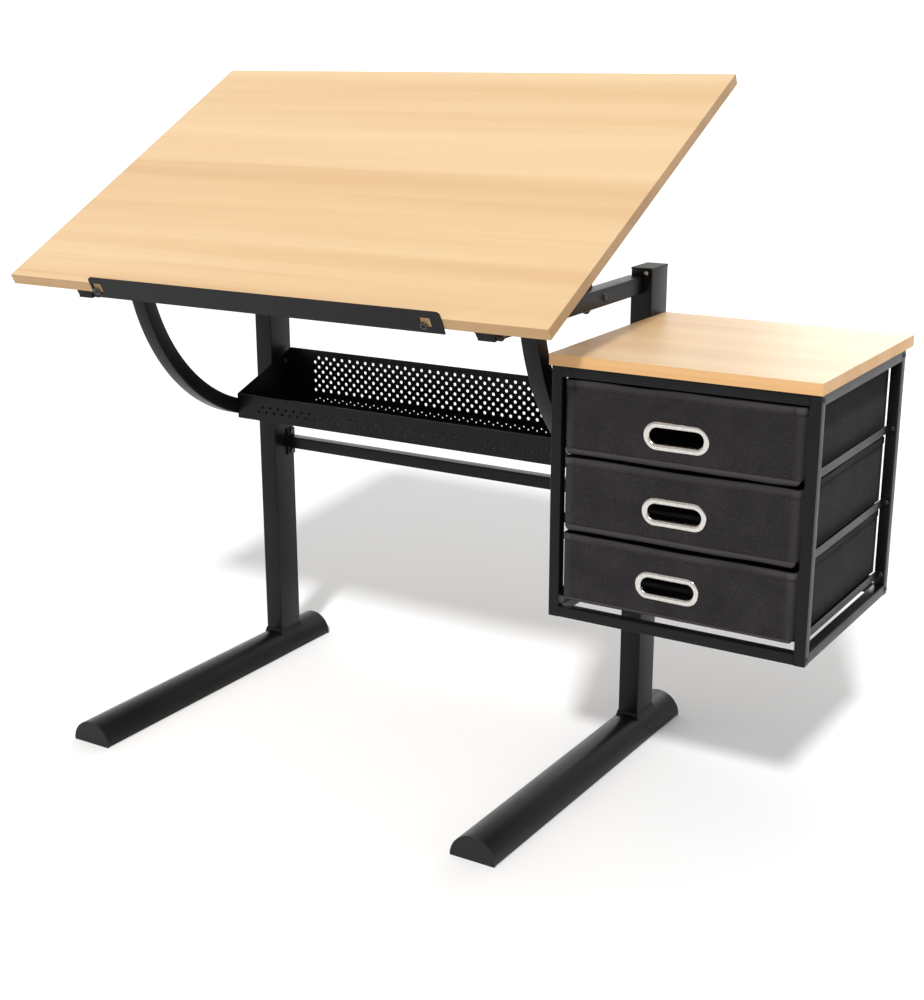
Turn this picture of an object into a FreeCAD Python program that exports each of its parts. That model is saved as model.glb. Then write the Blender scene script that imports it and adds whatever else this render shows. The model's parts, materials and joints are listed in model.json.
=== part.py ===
import FreeCAD, Part
import os
import re
import Sketcher

# A drafting table: a board that tilts on two T-shaped legs, with a perforated
# tray and a crossbar between them, and a three-drawer cabinet on the right leg.
# Millimetres, +Z up, +X to the right, -Y to the front. The origin is on the
# floor, under the centre of the whole table.

V = FreeCAD.Vector
Constraint = Sketcher.Constraint

DIMENSIONS = {
    # Place of the desk's centre line and of the posts' front faces
    "mid_x": -141.5,
    "post_y": 178,
    # Drawing board, tilted about an axis through the arms' front ends
    "board_w": 900,
    "board_d": 600,
    "board_thick": 15,
    "edging": 0.8,
    "tilt": 27,
    "pivot_y": -411,
    "pivot_z": 711,
    "under_n": 25.3,
    "reach": 38.75,
    # Legs: half-round feet, box posts
    "leg_x": 349.5,
    "foot_w": 70,
    "foot_tall": 36,
    "foot_side": 5,
    "foot_length": 588,
    "foot_front": -472,
    "steel": 1.5,
    "cap": 3,
    "post_w": 33,
    "post_d": 54,
    "post_top": 732.8,
    "plug": 2.5,
    # Arms and quarter-circle braces of square tube
    "arm_x": 340.7,
    "arm_size": 25,
    "arm_length": 423.3,
    "brace_z": 771,
    "brace_round": 315,
    # Crossbar between the posts
    "bar_size": 20,
    "bar_y": 33,
    "bar_z": 370,
    "flange": 3,
    "flange_tall": 46,
    "bolt_drop": 5.5,
    # Perforated tray
    "tray_half": 327.7,
    "tray_front": -101.5,
    "tray_back": 47.5,
    "tray_z": 452.3,
    "lip_tall": 41,
    "tray_tall": 93.2,
    "sheet_thick": 1.2,
    "pitch": 16,
    "back_hole": 2.7,
    "fold_hole": 1.3,
    "lip_hole": 2.5,
    # Tilt hinge and tilt lock
    "pivot_hole": 4.05,
    "pivot_rod": 4,
    "ear": 2.5,
    "ear_round": 13,
    "ear_gap": 0.6,
    "bracket_long": 40,
    "bracket_half": 28,
    "clamp_y": -125,
    "stay_round": 286,
    "stay_wide": 26,
    "stay_thick": 3,
    "stay_end": 29.5,
    "slot_wide": 6.6,
    "slot_low": 29.3,
    "slot_high": 0.8,
    "knob_round": 19,
    "knob_thick": 12,
    "hub_round": 10,
    "hub_tall": 20,
    "knob_bore": 3.05,
    "clamp_rod": 3,
    # Paper ledge
    "ledge_w": 590,
    "ledge_shift": 6,
    "ledge_low": 18.3,
    "ledge_tall": 33,
    "ledge_thick": 2,
    "ledge_gap": 0.3,
    "ledge_corner": 6,
    "screw_in": 18.5,
    "screw_shift": -9,
    "ledge_screw_n": 29.4,
    "window_low": 26.4,
    "window_high": 41.4,
    "window_left": 5.5,
    "window_right": 11,
    # Drawer cabinet
    "cab_left": 369,
    "cab_w": 362,
    "cab_front": -303.5,
    "cab_d": 325,
    "cab_low": 304,
    "cab_high": 651,
    "tube": 15,
    "tube_wall": 1.2,
    "top_left": 367.1,
    "top_w": 365.9,
    "top_front": -307.7,
    "top_d": 353,
    "runner_in": 10,
    "runner_wide": 21,
    "runner_tall": 11.5,
    "runner_thick": 1.5,
    # Drawers
    "drawer_w": 322,
    "drawer_d": 320,
    "drawer_tall": 93.2,
    "drawer_front": -300,
    "drawer_low": 331,
    "drawer_step": 104.5,
    "cloth": 2.5,
    "insert": 3,
    "ring_long": 91,
    "ring_tall": 38,
    "ring_rim": 8.5,
    "ring_proud": 2.5,
}

doc = FreeCAD.newDocument("drafting_table")
sheet = doc.addObject("Spreadsheet::Sheet", "Sheet")
for row, (alias, size) in enumerate(DIMENSIONS.items(), start=1):
    sheet.set(f"A{row}", alias)
    sheet.set(f"B{row}", str(size))
    sheet.setAlias(f"B{row}", alias)
doc.recompute()

ROOT = "frame"
BOARD = "board"
SIDES = (("left", -1), ("right", 1))
kept = []


def formula(text):
    """The expression with every dimension's name pointed at the sheet."""
    def point(found):
        word = found.group(0)
        return f"Sheet.{word}" if word in DIMENSIONS else word
    return re.sub(r"[A-Za-z_]+", point, str(text))


def value(text):
    """The expression's number."""
    found = sheet.evalExpression(formula(text))
    return float(getattr(found, "Value", found))


def bind(thing, **sizes):
    """Binds properties to expressions; __ in a name stands for a dot."""
    for name, text in sizes.items():
        thing.setExpression(name.replace("__", "."), formula(text))


def put(thing, x, y, z):
    bind(thing, Placement__Base__x=x, Placement__Base__y=y, Placement__Base__z=z)


def keep(thing, label, where=ROOT, x="0", y="0", z="0"):
    """Labels a finished piece and places it, on the frame or on the board."""
    thing.Label = label
    if where == BOARD:
        thing.Placement = FreeCAD.Placement(V(0, 0, 0), FreeCAD.Rotation(V(1, 0, 0), 1))
        bind(thing, Placement__Rotation__Angle="tilt")
        y, z = "pivot_y", "pivot_z"
    put(thing, f"mid_x + {x}", f"post_y + {y}", z)
    kept.append(thing)


# Primitives, in the coordinates of the desk's frame or of the board

def box(low, high):
    block = doc.addObject("Part::Box", "block")
    spans = [f"({b}) - ({a})" for a, b in zip(low, high)]
    bind(block, Length=spans[0], Width=spans[1], Height=spans[2])
    put(block, *low)
    return block


def rod(start, length, radius, axis="Z", sides=0):
    """A cylinder, or a prism when sides is given, along an axis."""
    turns = {"X": (V(0, 1, 0), 90), "-X": (V(0, 1, 0), -90), "Y": (V(1, 0, 0), -90),
             "-Y": (V(1, 0, 0), 90), "Z": (V(0, 0, 1), 0), "-Z": (V(1, 0, 0), 180)}
    bar = doc.addObject("Part::Prism" if sides else "Part::Cylinder", "bar")
    if sides:
        bar.Polygon = sides
        bind(bar, Circumradius=radius, Height=length)
    else:
        bind(bar, Radius=radius, Height=length)
    bar.Placement = FreeCAD.Placement(V(0, 0, 0), FreeCAD.Rotation(*turns[axis]))
    put(bar, *start)
    return bar


def cut(base, *tools):
    for tool in tools:
        result = doc.addObject("Part::Cut", "cut")
        result.Base = base
        result.Tool = tool
        base = result
    return base


def fuse(*pieces):
    result = doc.addObject("Part::MultiFuse", "fused")
    result.Shapes = list(pieces)
    return result


def group(pieces):
    """Like pieces as separate solids of one sub-part."""
    result = doc.addObject("Part::Compound", "group")
    result.Links = list(pieces)
    return result


def tube(low, high, along, wall):
    """A box tube, open at both ends; along is 0, 1 or 2 for X, Y or Z."""
    inner_low = [f"{a} + {wall}" for a in low]
    inner_high = [f"{b} - {wall}" for b in high]
    inner_low[along] = f"{low[along]} - 1"
    inner_high[along] = f"{high[along]} + 1"
    return cut(box(low, high), box(inner_low, inner_high))


def span(sign, near, far):
    """Two distances from the centre line as a low and a high x."""
    return (near, far) if sign > 0 else (f"-({far})", f"-({near})")


def screw(head_at, axis, head_round, head_tall, rod_round, rod_long, sides=0):
    """A head with its shank behind it; axis is the way the head points."""
    behind = axis[1:] if axis.startswith("-") else "-" + axis
    head = rod(head_at, head_tall, head_round, axis, sides)
    shank = rod(head_at, rod_long, rod_round, behind)
    return fuse(head, shank)


# PartDesign bodies

def new_body(name):
    return doc.addObject("PartDesign::Body", name)


def sketch_on(body, role, shift="0"):
    """A sketch on one of the body's own planes, moved along its normal."""
    sketch = body.newObject("Sketcher::SketchObject", "sketch")
    plane = next(item for item in body.Origin.OriginFeatures if item.Role == role)
    sketch.AttachmentSupport = [(plane, "")]
    sketch.MapMode = "FlatFace"
    bind(sketch, AttachmentOffset__Base__z=shift)
    return sketch


def drive(sketch, text, kind, *args):
    number = sketch.addConstraint(Constraint(kind, *args, value(text)))
    bind(sketch, **{f"Constraints[{number}]": text})


def trace(sketch, corners):
    """A closed outline. A corner is (u, v), and when its next side is an arc,
    (u, v, (u, v of a point on the arc, radius))."""
    spots = [V(value(corner[0]), value(corner[1]), 0) for corner in corners]
    sides = []
    for number, corner in enumerate(corners):
        start = spots[number]
        end = spots[(number + 1) % len(spots)]
        if len(corner) == 2:
            sides.append((sketch.addGeometry(Part.LineSegment(start, end)), 1, 2))
            continue
        mid_u, mid_v, radius = corner[2]
        middle = V(value(mid_u), value(mid_v), 0)
        left_turn = (middle - start).cross(end - start).z > 0
        ends = (start, end) if left_turn else (end, start)
        side = sketch.addGeometry(Part.Arc(ends[0], middle, ends[1]))
        sides.append((side, 1, 2) if left_turn else (side, 2, 1))
        if abs((end - start).Length - 2 * value(radius)) > 1e-6:
            drive(sketch, radius, "Radius", side)
            continue
        # A half circle is held by its centre, which is midway between its ends
        axis = 0 if abs(end.y - start.y) > abs(end.x - start.x) else 1
        following = corners[(number + 1) % len(corners)]
        midway = f"(({corner[axis]}) + ({following[axis]})) / 2"
        drive(sketch, midway, ("DistanceX", "DistanceY")[axis], -1, 1, side, 3)
    for number, (side, first, last) in enumerate(sides):
        before = sides[number - 1]
        sketch.addConstraint(Constraint("Coincident", before[0], before[2], side, first))
        drive(sketch, corners[number][0], "DistanceX", -1, 1, side, first)
        drive(sketch, corners[number][1], "DistanceY", -1, 1, side, first)


def rectangle(sketch, left, low, right, high):
    trace(sketch, [(left, low), (right, low), (right, high), (left, high)])


def circle(sketch, u, v, radius):
    centre = V(value(u), value(v), 0)
    ring = sketch.addGeometry(Part.Circle(centre, V(0, 0, 1), value(radius)))
    drive(sketch, u, "DistanceX", -1, 1, ring, 3)
    drive(sketch, v, "DistanceY", -1, 1, ring, 3)
    drive(sketch, radius, "Radius", ring)


def obround(sketch, long, tall):
    """A slot outline about the sketch's origin, round at its left and right."""
    half = f"({tall}) / 2"
    flat = f"(({long}) - ({tall})) / 2"
    trace(sketch, [(f"-{flat}", f"-{half}"),
                   (flat, f"-{half}", (f"({long}) / 2", "0", half)),
                   (flat, half),
                   (f"-{flat}", half, (f"-({long}) / 2", "0", half))])


def pad(body, sketch, length, both=True):
    feature = body.newObject("PartDesign::Pad", "pad")
    feature.Profile = sketch
    feature.Midplane = both
    bind(feature, Length=length)
    return feature


def pocket(body, sketch, length, both=True):
    feature = body.newObject("PartDesign::Pocket", "pocket")
    feature.Profile = sketch
    feature.Midplane = both
    bind(feature, Length=length)
    return feature


def repeat(body, feature, sketch, count, length):
    """A row of the feature along the sketch's horizontal axis."""
    row = body.newObject("PartDesign::LinearPattern", "row")
    row.Originals = [feature]
    row.Direction = (sketch, ["H_Axis"])
    row.Occurrences = count
    bind(row, Length=length)
    body.Tip = row


def round_edges(body, radius, wanted):
    """Fillets the edges of the body's last feature that the test picks."""
    doc.recompute()
    last = body.Tip
    names = [f"Edge{number}" for number, edge in enumerate(last.Shape.Edges, start=1)
             if wanted(edge)]
    feature = body.newObject("PartDesign::Fillet", "fillet")
    feature.Base = (last, names)
    bind(feature, Radius=radius)


# Feet: half-round tubes of steel sheet, closed by plastic caps

FOOT_ROUND = ("(foot_w * foot_w / 4 + (foot_tall - foot_side) * (foot_tall - foot_side))"
              " / (2 * (foot_tall - foot_side))")


def foot_outline(sketch, inset):
    half = f"foot_w / 2 - {inset}"
    trace(sketch, [(f"-({half})", inset), (half, inset),
                   (half, "foot_side", ("0", f"foot_tall - {inset}", f"{FOOT_ROUND} - {inset}")),
                   (f"-({half})", "foot_side")])


def make_foot(side, sign):
    body = new_body(f"foot_{side}_body")
    shell = sketch_on(body, "XZ_Plane")
    foot_outline(shell, "0")
    pad(body, shell, "foot_length - 2 * cap")
    hollow = sketch_on(body, "XZ_Plane")
    foot_outline(hollow, "steel")
    pocket(body, hollow, "foot_length")
    keep(body, f"foot_{side}", x=f"{sign} * leg_x", y="(foot_front + foot_length / 2)")


def make_foot_cap(sign, end):
    """A plate over the tube's end and a plug inside it; end is -1 at the front."""
    body = new_body("foot_cap_body")
    plate = sketch_on(body, "XZ_Plane", f"{-end} * (foot_length / 2 - cap / 2)")
    foot_outline(plate, "0")
    pad(body, plate, "cap")
    plug = sketch_on(body, "XZ_Plane", f"{-end} * (foot_length / 2 - 2.5 * cap)")
    foot_outline(plug, "(steel + 0.1)")
    pad(body, plug, "3 * cap")
    put(body, f"{sign} * leg_x", "foot_front + foot_length / 2", "0")
    return body


for side, sign in SIDES:
    make_foot(side, sign)
keep(group([make_foot_cap(sign, end) for _, sign in SIDES for end in (-1, 1)]), "foot_caps")


# Posts: box tubes standing on the feet, coped to their round tops

POST_HALF = "post_w / 2"
INNER_FACE = f"(leg_x - {POST_HALF})"
OUTER_FACE = f"(leg_x + {POST_HALF})"
PLUG_SCREW_Z = "post_top - 5.2"
PLUG_SCREW_X = "(leg_x + 7.3)"
BAR_MID_Z = "(bar_z + bar_size / 2)"
BOLT_HALF = "(flange_tall / 2 - bolt_drop)"
MOUNT_LEVELS = ("370", "590")
MOUNT_BOLTS = [f"{level} + {rise}" for level in MOUNT_LEVELS for rise in (-18, 18)]
REAR_TUBE_Y = "(cab_front + cab_d - tube / 2)"


def foot_surface(sign):
    return rod((f"{sign} * leg_x", "foot_front", f"foot_tall - {FOOT_ROUND}"),
               "foot_length", FOOT_ROUND, "Y")


def make_post(side, sign):
    near, far = span(sign, INNER_FACE, OUTER_FACE)
    shell = tube((near, "0", "foot_side"), (far, "post_d", "post_top"), 2, "steel")
    holes = [rod((f"{sign} * {PLUG_SCREW_X}", "-1", PLUG_SCREW_Z), "steel + 2", "1.7", "Y")]
    for rise in (-1, 1):
        inner = span(sign, f"{INNER_FACE} - 1", f"{INNER_FACE} + steel + 1")[0]
        height = f"{BAR_MID_Z} + {rise} * {BOLT_HALF}"
        holes.append(rod((inner, "bar_y + bar_size / 2", height), "steel + 2", "3.1", "X"))
    if sign > 0:
        for height in MOUNT_BOLTS:
            start = f"{OUTER_FACE} - steel - 1"
            holes.append(rod((start, REAR_TUBE_Y, height), "steel + 2", "3.1", "X"))
    keep(cut(shell, foot_surface(sign), *holes), f"post_{side}")


def make_post_plug(sign):
    near, far = span(sign, INNER_FACE, OUTER_FACE)
    lid = box((near, "0", "post_top"), (far, "post_d", "post_top + plug"))
    stem = box((f"{near} + steel + 0.1", "steel + 0.1", "post_top - 12"),
               (f"{far} - steel - 0.1", "post_d - steel - 0.1", "post_top"))
    return fuse(lid, stem)


def make_weld(sign):
    """A sloping bead round the post's foot."""
    wedge = doc.addObject("Part::Wedge", "wedge")
    bind(wedge, Xmin=f"-{POST_HALF} - 4", Xmax=f"{POST_HALF} + 4", Zmin="-post_d - 4",
         Zmax="4", X2min=f"-{POST_HALF} - 0.5", X2max=f"{POST_HALF} + 0.5",
         Z2min="-post_d - 0.5", Z2max="0.5", Ymin="0", Ymax="14")
    wedge.Placement = FreeCAD.Placement(V(0, 0, 0), FreeCAD.Rotation(V(1, 0, 0), 90))
    put(wedge, f"{sign} * leg_x", "0", "foot_tall - 10")
    near, far = span(sign, INNER_FACE, OUTER_FACE)
    post = box((near, "0", "0"), (far, "post_d", "post_top"))
    return cut(wedge, post, foot_surface(sign))


for side, sign in SIDES:
    make_post(side, sign)
keep(group([make_post_plug(sign) for _, sign in SIDES]), "post_plugs")
keep(group([screw((f"{sign} * {PLUG_SCREW_X}", "0", PLUG_SCREW_Z), "-Y", "3.2", "1.6", "1.6", "10")
            for _, sign in SIDES]), "post_plug_screws")
keep(group([make_weld(sign) for _, sign in SIDES]), "weld_beads")


# Arms: square tubes from the posts' front faces to the board's hinge

ARM_HALF = "arm_size / 2"


def arm_span(sign, inset="0"):
    return span(sign, f"arm_x - {ARM_HALF} + {inset}", f"arm_x + {ARM_HALF} - {inset}")


def make_arm(side, sign):
    near, far = arm_span(sign)
    shell = tube((near, "-arm_length + cap", f"pivot_z - {ARM_HALF}"),
                 (far, "0", f"pivot_z + {ARM_HALF}"), 1, "steel")
    hinge_hole = rod((f"{near} - 1", "pivot_y", "pivot_z"), "arm_size + 2", "pivot_rod + 0.1", "X")
    clamp_hole = rod((f"{near} - 1", "clamp_y", "pivot_z"), "arm_size + 2", "clamp_rod + 0.1", "X")
    keep(cut(shell, hinge_hole, clamp_hole), f"arm_{side}")


def make_arm_plug(sign):
    near, far = arm_span(sign)
    inner_near, inner_far = arm_span(sign, "(steel + 0.1)")
    lid = box((near, "-arm_length", f"pivot_z - {ARM_HALF}"),
              (far, "-arm_length + cap", f"pivot_z + {ARM_HALF}"))
    stem = box((inner_near, "-arm_length + cap", f"pivot_z - {ARM_HALF} + steel + 0.1"),
               (inner_far, "-arm_length + cap + 4", f"pivot_z + {ARM_HALF} - steel - 0.1"))
    return fuse(lid, stem)


# Braces: the same tube bent to a quarter circle, from the arm's underside
# down and back to the post's front face

def brace_outline(sketch, inset):
    top = f"(pivot_z - {ARM_HALF})"
    outer = f"(brace_round + {ARM_HALF} - {inset})"
    inner = f"(brace_round - {ARM_HALF} + {inset})"
    drop = f"(brace_z - {top})"
    trace(sketch, [
        ("0", f"brace_z - {outer}",
         (f"-{outer} * sqrt(0.5)", f"brace_z - {outer} * sqrt(0.5)", outer)),
        (f"-sqrt({outer} * {outer} - {drop} * {drop})", top),
        (f"-sqrt({inner} * {inner} - {drop} * {drop})", top,
         (f"-{inner} * sqrt(0.5)", f"brace_z - {inner} * sqrt(0.5)", inner)),
        ("0", f"brace_z - {inner}")])


def make_brace(side, sign):
    body = new_body(f"arc_brace_{side}_body")
    shell = sketch_on(body, "YZ_Plane")
    brace_outline(shell, "0")
    pad(body, shell, "arm_size")
    hollow = sketch_on(body, "YZ_Plane")
    brace_outline(hollow, "steel")
    pocket(body, hollow, "arm_size - 2 * steel")
    keep(body, f"arc_brace_{side}", x=f"{sign} * arm_x")


for side, sign in SIDES:
    make_arm(side, sign)
    make_brace(side, sign)
keep(group([make_arm_plug(sign) for _, sign in SIDES]), "arm_plugs")


# Crossbar: a square tube with a plate at each end, bolted to the posts

def make_crossbar():
    inner = f"({INNER_FACE} - flange)"
    bar = tube((f"-{inner}", "bar_y", "bar_z"),
               (inner, "bar_y + bar_size", "bar_z + bar_size"), 0, "steel")
    keep(bar, "crossbar")
    flanges = []
    bolts = []
    for _, sign in SIDES:
        near, far = span(sign, inner, INNER_FACE)
        plate = box((near, "bar_y", f"{BAR_MID_Z} - flange_tall / 2"),
                    (far, "bar_y + bar_size", f"{BAR_MID_Z} + flange_tall / 2"))
        holes = []
        for rise in (-1, 1):
            height = f"{BAR_MID_Z} + {rise} * {BOLT_HALF}"
            middle_y = "bar_y + bar_size / 2"
            holes.append(rod((f"{near} - 1", middle_y, height), "flange + 2", "3.1", "X"))
            head_at = (f"{sign} * {inner}", middle_y, height)
            head_way = "-X" if sign > 0 else "X"
            bolts.append(screw(head_at, head_way, "4.6", "3", "3", "12", sides=6))
        flanges.append(cut(plate, *holes))
    keep(group(flanges), "crossbar_flanges")
    keep(group(bolts), "crossbar_bolts")


make_crossbar()


# Tray: folded from perforated sheet, screwed to the braces and posts

BACK_COLUMNS = 35
LIP_COLUMNS = 36


def make_tray():
    body = new_body("tray_body")
    fold = sketch_on(body, "YZ_Plane")
    trace(fold, [("tray_front", "tray_z"), ("tray_back", "tray_z"),
                 ("tray_back", "tray_z + tray_tall"),
                 ("tray_back - sheet_thick", "tray_z + tray_tall"),
                 ("tray_back - sheet_thick", "tray_z + sheet_thick"),
                 ("tray_front + sheet_thick", "tray_z + sheet_thick"),
                 ("tray_front + sheet_thick", "tray_z + lip_tall"),
                 ("tray_front", "tray_z + lip_tall")])
    pad(body, fold, "2 * tray_half")
    for _, sign in SIDES:
        end = sketch_on(body, "YZ_Plane", f"{sign} * (tray_half - sheet_thick / 2)")
        trace(end, [("tray_front", "tray_z"), ("tray_back", "tray_z"),
                    ("tray_back", "tray_z + tray_tall"), ("tray_front", "tray_z + lip_tall")])
        pad(body, end, "sheet_thick")
    rows = (("tray_back - sheet_thick / 2", "back_hole", BACK_COLUMNS, 4, "24.4", "pitch / 2"),
            ("tray_back - sheet_thick / 2", "fold_hole", BACK_COLUMNS, 1, "6.5", "4"),
            ("tray_front + sheet_thick / 2", "lip_hole", LIP_COLUMNS, 1, "15", "pitch / 2"))
    for depth, radius, columns, pairs, first_z, rise in rows:
        pattern = sketch_on(body, "XZ_Plane", f"-({depth})")
        first_x = f"-pitch * {columns - 0.5} / 2"
        for number in range(pairs):
            low = f"tray_z + {first_z} + {number} * pitch"
            circle(pattern, first_x, low, radius)
            circle(pattern, f"{first_x} + pitch / 2", f"{low} + {rise}", radius)
        holes = pocket(body, pattern, "4 * sheet_thick")
        repeat(body, holes, pattern, columns, f"pitch * {columns - 1}")
    keep(body, "tray")


TRAY_SCREWS = ((-20, "brace_z - brace_round"), (30, "tray_z + 72"))


def make_tray_fixings():
    screws = []
    spacers = []
    gap = f"{INNER_FACE} - tray_half"
    for _, sign in SIDES:
        for y, z in TRAY_SCREWS:
            head_at = (f"{sign} * (tray_half - sheet_thick)", str(y), z)
            head_way = "-X" if sign > 0 else "X"
            screws.append(screw(head_at, head_way, "4.2", "2", "1.9", "10"))
        near = span(sign, "tray_half", INNER_FACE)[0]
        post_screw = (near, str(TRAY_SCREWS[1][0]), TRAY_SCREWS[1][1])
        spacers.append(cut(rod(post_screw, gap, "5", "X"), rod(post_screw, gap, "2.1", "X")))
    keep(group(screws), "tray_screws")
    keep(group(spacers), "tray_spacers")


make_tray()
make_tray_fixings()


# Tilt hinge: a forked bracket under the board on each arm's front end, with a
# bolt through its ears and the arm

EAR_IN = f"({ARM_HALF} + ear_gap)"
EAR_OUT = f"({EAR_IN} + ear)"
EAR_TOP = "(under_n - ear)"
BRACKET_SCREWS = [(x, y) for x in (-22, 22) for y in (-6, 32)]


def make_hinge_bracket(side, sign):
    body = new_body(f"hinge_bracket_{side}_body")
    ears = sketch_on(body, "YZ_Plane")
    trace(ears, [("-ear_round", "under_n"),
                 ("-ear_round", "0", ("0", "-ear_round", "ear_round")),
                 ("ear_round", "0"), ("bracket_long", EAR_TOP), ("bracket_long", "under_n")])
    pad(body, ears, f"2 * {EAR_OUT}")
    channel = sketch_on(body, "YZ_Plane")
    rectangle(channel, "-ear_round - 1", "-ear_round - 1", "bracket_long + 1", EAR_TOP)
    pocket(body, channel, f"2 * {EAR_IN}")
    base = sketch_on(body, "XY_Plane", f"{EAR_TOP} + ear / 2")
    rectangle(base, "-bracket_half", "-ear_round", "bracket_half", "bracket_long")
    pad(body, base, "ear")
    hinge_hole = sketch_on(body, "YZ_Plane")
    circle(hinge_hole, "0", "0", "pivot_hole")
    pocket(body, hinge_hole, f"3 * {EAR_OUT}")
    screw_holes = sketch_on(body, "XY_Plane", f"{EAR_TOP} + ear / 2")
    for x, y in BRACKET_SCREWS:
        circle(screw_holes, str(x), str(y), "2.2")
    pocket(body, screw_holes, "2 * ear")
    keep(body, f"hinge_bracket_{side}", BOARD, x=f"{sign} * arm_x")


def make_hinge_bolts():
    """Hex bolt heads outside, nuts on the inner side."""
    pieces = []
    for _, sign in SIDES:
        head_way, nut_way = ("X", "-X") if sign > 0 else ("-X", "X")
        face = f"({EAR_OUT} + 0.3)"
        head_at = (f"{sign} * (arm_x + {face})", "pivot_y", "pivot_z")
        pieces.append(screw(head_at, head_way, "7.5", "5.3", "pivot_rod", f"2 * {face} + 9", 6))
        nut_at = (f"{sign} * (arm_x - {face})", "pivot_y", "pivot_z")
        nut = rod(nut_at, "6.5", "7.5", nut_way, 6)
        pieces.append(cut(nut, rod(nut_at, "6.5", "pivot_rod", nut_way)))
    keep(group(pieces), "hinge_bolts")


# Tilt lock: a slotted curved stay on the board swings past the inner face of
# each arm, and a star knob on a carriage bolt clamps it

STAY_X = f"(arm_x - {ARM_HALF} - 0.3 - stay_thick / 2)"
STAY_SCREWS = (262, 309)


def arc_band(sketch, half_wide, low, high):
    """A curved slot about the hinge, with round ends; angles below the board."""
    outer = f"(stay_round + {half_wide})"
    inner = f"(stay_round - {half_wide})"
    over = f"({half_wide}) / stay_round * 57.296"

    def at(radius, angle):
        return f"{radius} * cos({angle})", f"-{radius} * sin({angle})"

    middle = f"({low} + {high}) / 2"
    trace(sketch, [
        (*at(outer, low), (*at("stay_round", f"{low} + {over}"), half_wide)),
        (*at(inner, low), (*at(inner, middle), inner)),
        (*at(inner, high), (*at("stay_round", f"{high} - {over}"), half_wide)),
        (*at(outer, high), (*at(outer, middle), outer))])


def make_stay(side, sign):
    body = new_body(f"tilt_stay_{side}_body")
    band = sketch_on(body, "YZ_Plane")
    outer = "(stay_round + stay_wide / 2)"
    inner = "(stay_round - stay_wide / 2)"
    end = "(stay_end + stay_wide / 2 / stay_round * 57.296)"
    middle = "stay_end / 2"
    trace(band, [
        (f"{outer} * cos(stay_end)", f"-{outer} * sin(stay_end)",
         (f"stay_round * cos({end})", f"-stay_round * sin({end})", "stay_wide / 2")),
        (f"{inner} * cos(stay_end)", f"-{inner} * sin(stay_end)",
         (f"{inner} * cos({middle})", f"-{inner} * sin({middle})", inner)),
        (f"sqrt({inner} * {inner} - under_n * under_n)", "under_n"),
        (f"sqrt({outer} * {outer} - under_n * under_n)", "under_n",
         (f"{outer} * cos({middle})", f"-{outer} * sin({middle})", outer))])
    pad(body, band, "stay_thick")
    slot = sketch_on(body, "YZ_Plane")
    arc_band(slot, "slot_wide / 2", "slot_low", "-slot_high")
    pocket(body, slot, "3 * stay_thick")
    flange = sketch_on(body, "XY_Plane", "under_n - stay_thick / 2")
    edge = f"{sign} * stay_thick / 2"
    inward = f"-{sign} * 24"
    left, right = (inward, edge) if sign > 0 else (edge, inward)
    rectangle(flange, left, "255", right, "316")
    pad(body, flange, "stay_thick")
    screw_holes = sketch_on(body, "XY_Plane", "under_n - stay_thick / 2")
    for y in STAY_SCREWS:
        circle(screw_holes, f"-{sign} * 13", str(y), "2.2")
    pocket(body, screw_holes, "2 * stay_thick")
    keep(body, f"tilt_stay_{side}", BOARD, x=f"{sign} * {STAY_X}")


def make_board_screws():
    """Pan-head screws up through the brackets and stays into the board."""
    places = []
    for _, sign in SIDES:
        for x, y in BRACKET_SCREWS:
            places.append((f"{sign} * arm_x + {x}", str(y), EAR_TOP))
        for y in STAY_SCREWS:
            places.append((f"{sign} * ({STAY_X} - 13)", str(y), "under_n - stay_thick"))
    screws = [screw(place, "-Z", "4", "2", "2", "13") for place in places]
    keep(group(screws), "board_screws", BOARD)


WASHER_X = "(arm_x - arm_size / 2 - 0.6 - stay_thick)"


def make_clamp_bolts():
    """Dome-headed carriage bolts, each with a washer over the stay."""
    pieces = []
    for _, sign in SIDES:
        head_way, rod_way = ("X", "-X") if sign > 0 else ("-X", "X")
        head_at = (f"{sign} * (arm_x + {ARM_HALF})", "clamp_y", "pivot_z")
        dome = doc.addObject("Part::Cone", "dome")
        bind(dome, Radius1="6.2", Radius2="3", Height="3.2")
        dome.Placement = FreeCAD.Placement(V(0, 0, 0), FreeCAD.Rotation(V(0, 1, 0), sign * 90))
        put(dome, *head_at)
        pieces.append(fuse(dome, rod(head_at, "arm_size + 20", "clamp_rod", rod_way)))
        washer_at = (f"{sign} * {WASHER_X}", "clamp_y", "pivot_z")
        washer = rod(washer_at, "1", "8", rod_way)
        pieces.append(cut(washer, rod(washer_at, "1", "clamp_rod + 0.1", rod_way)))
    keep(group(pieces), "clamp_bolts")


def make_knob(side, sign):
    """A star knob, scalloped five times round a hub that faces the stay."""
    body = new_body(f"clamp_knob_{side}_body")
    disc = sketch_on(body, "YZ_Plane", f"{-sign} * (hub_tall - knob_thick / 2)")
    circle(disc, "0", "0", "knob_round")
    pad(body, disc, "knob_thick")
    hub = sketch_on(body, "YZ_Plane", f"{-sign} * hub_tall / 2")
    circle(hub, "0", "0", "hub_round")
    pad(body, hub, "hub_tall")
    scallop = sketch_on(body, "YZ_Plane", f"{-sign} * (hub_tall - knob_thick / 2)")
    circle(scallop, "knob_round + 3", "0", "8")
    bite = pocket(body, scallop, "2 * knob_thick")
    lobes = body.newObject("PartDesign::PolarPattern", "lobes")
    lobes.Originals = [bite]
    lobes.Axis = (scallop, ["N_Axis"])
    lobes.Angle = 360
    lobes.Occurrences = 5
    body.Tip = lobes
    doc.recompute()
    bore = sketch_on(body, "YZ_Plane", "0")
    circle(bore, "0", "0", "knob_bore")
    pocket(body, bore, "3 * hub_tall")
    keep(body, f"clamp_knob_{side}", x=f"{sign} * ({WASHER_X} - 1.3)", y="clamp_y", z="pivot_z")


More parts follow.
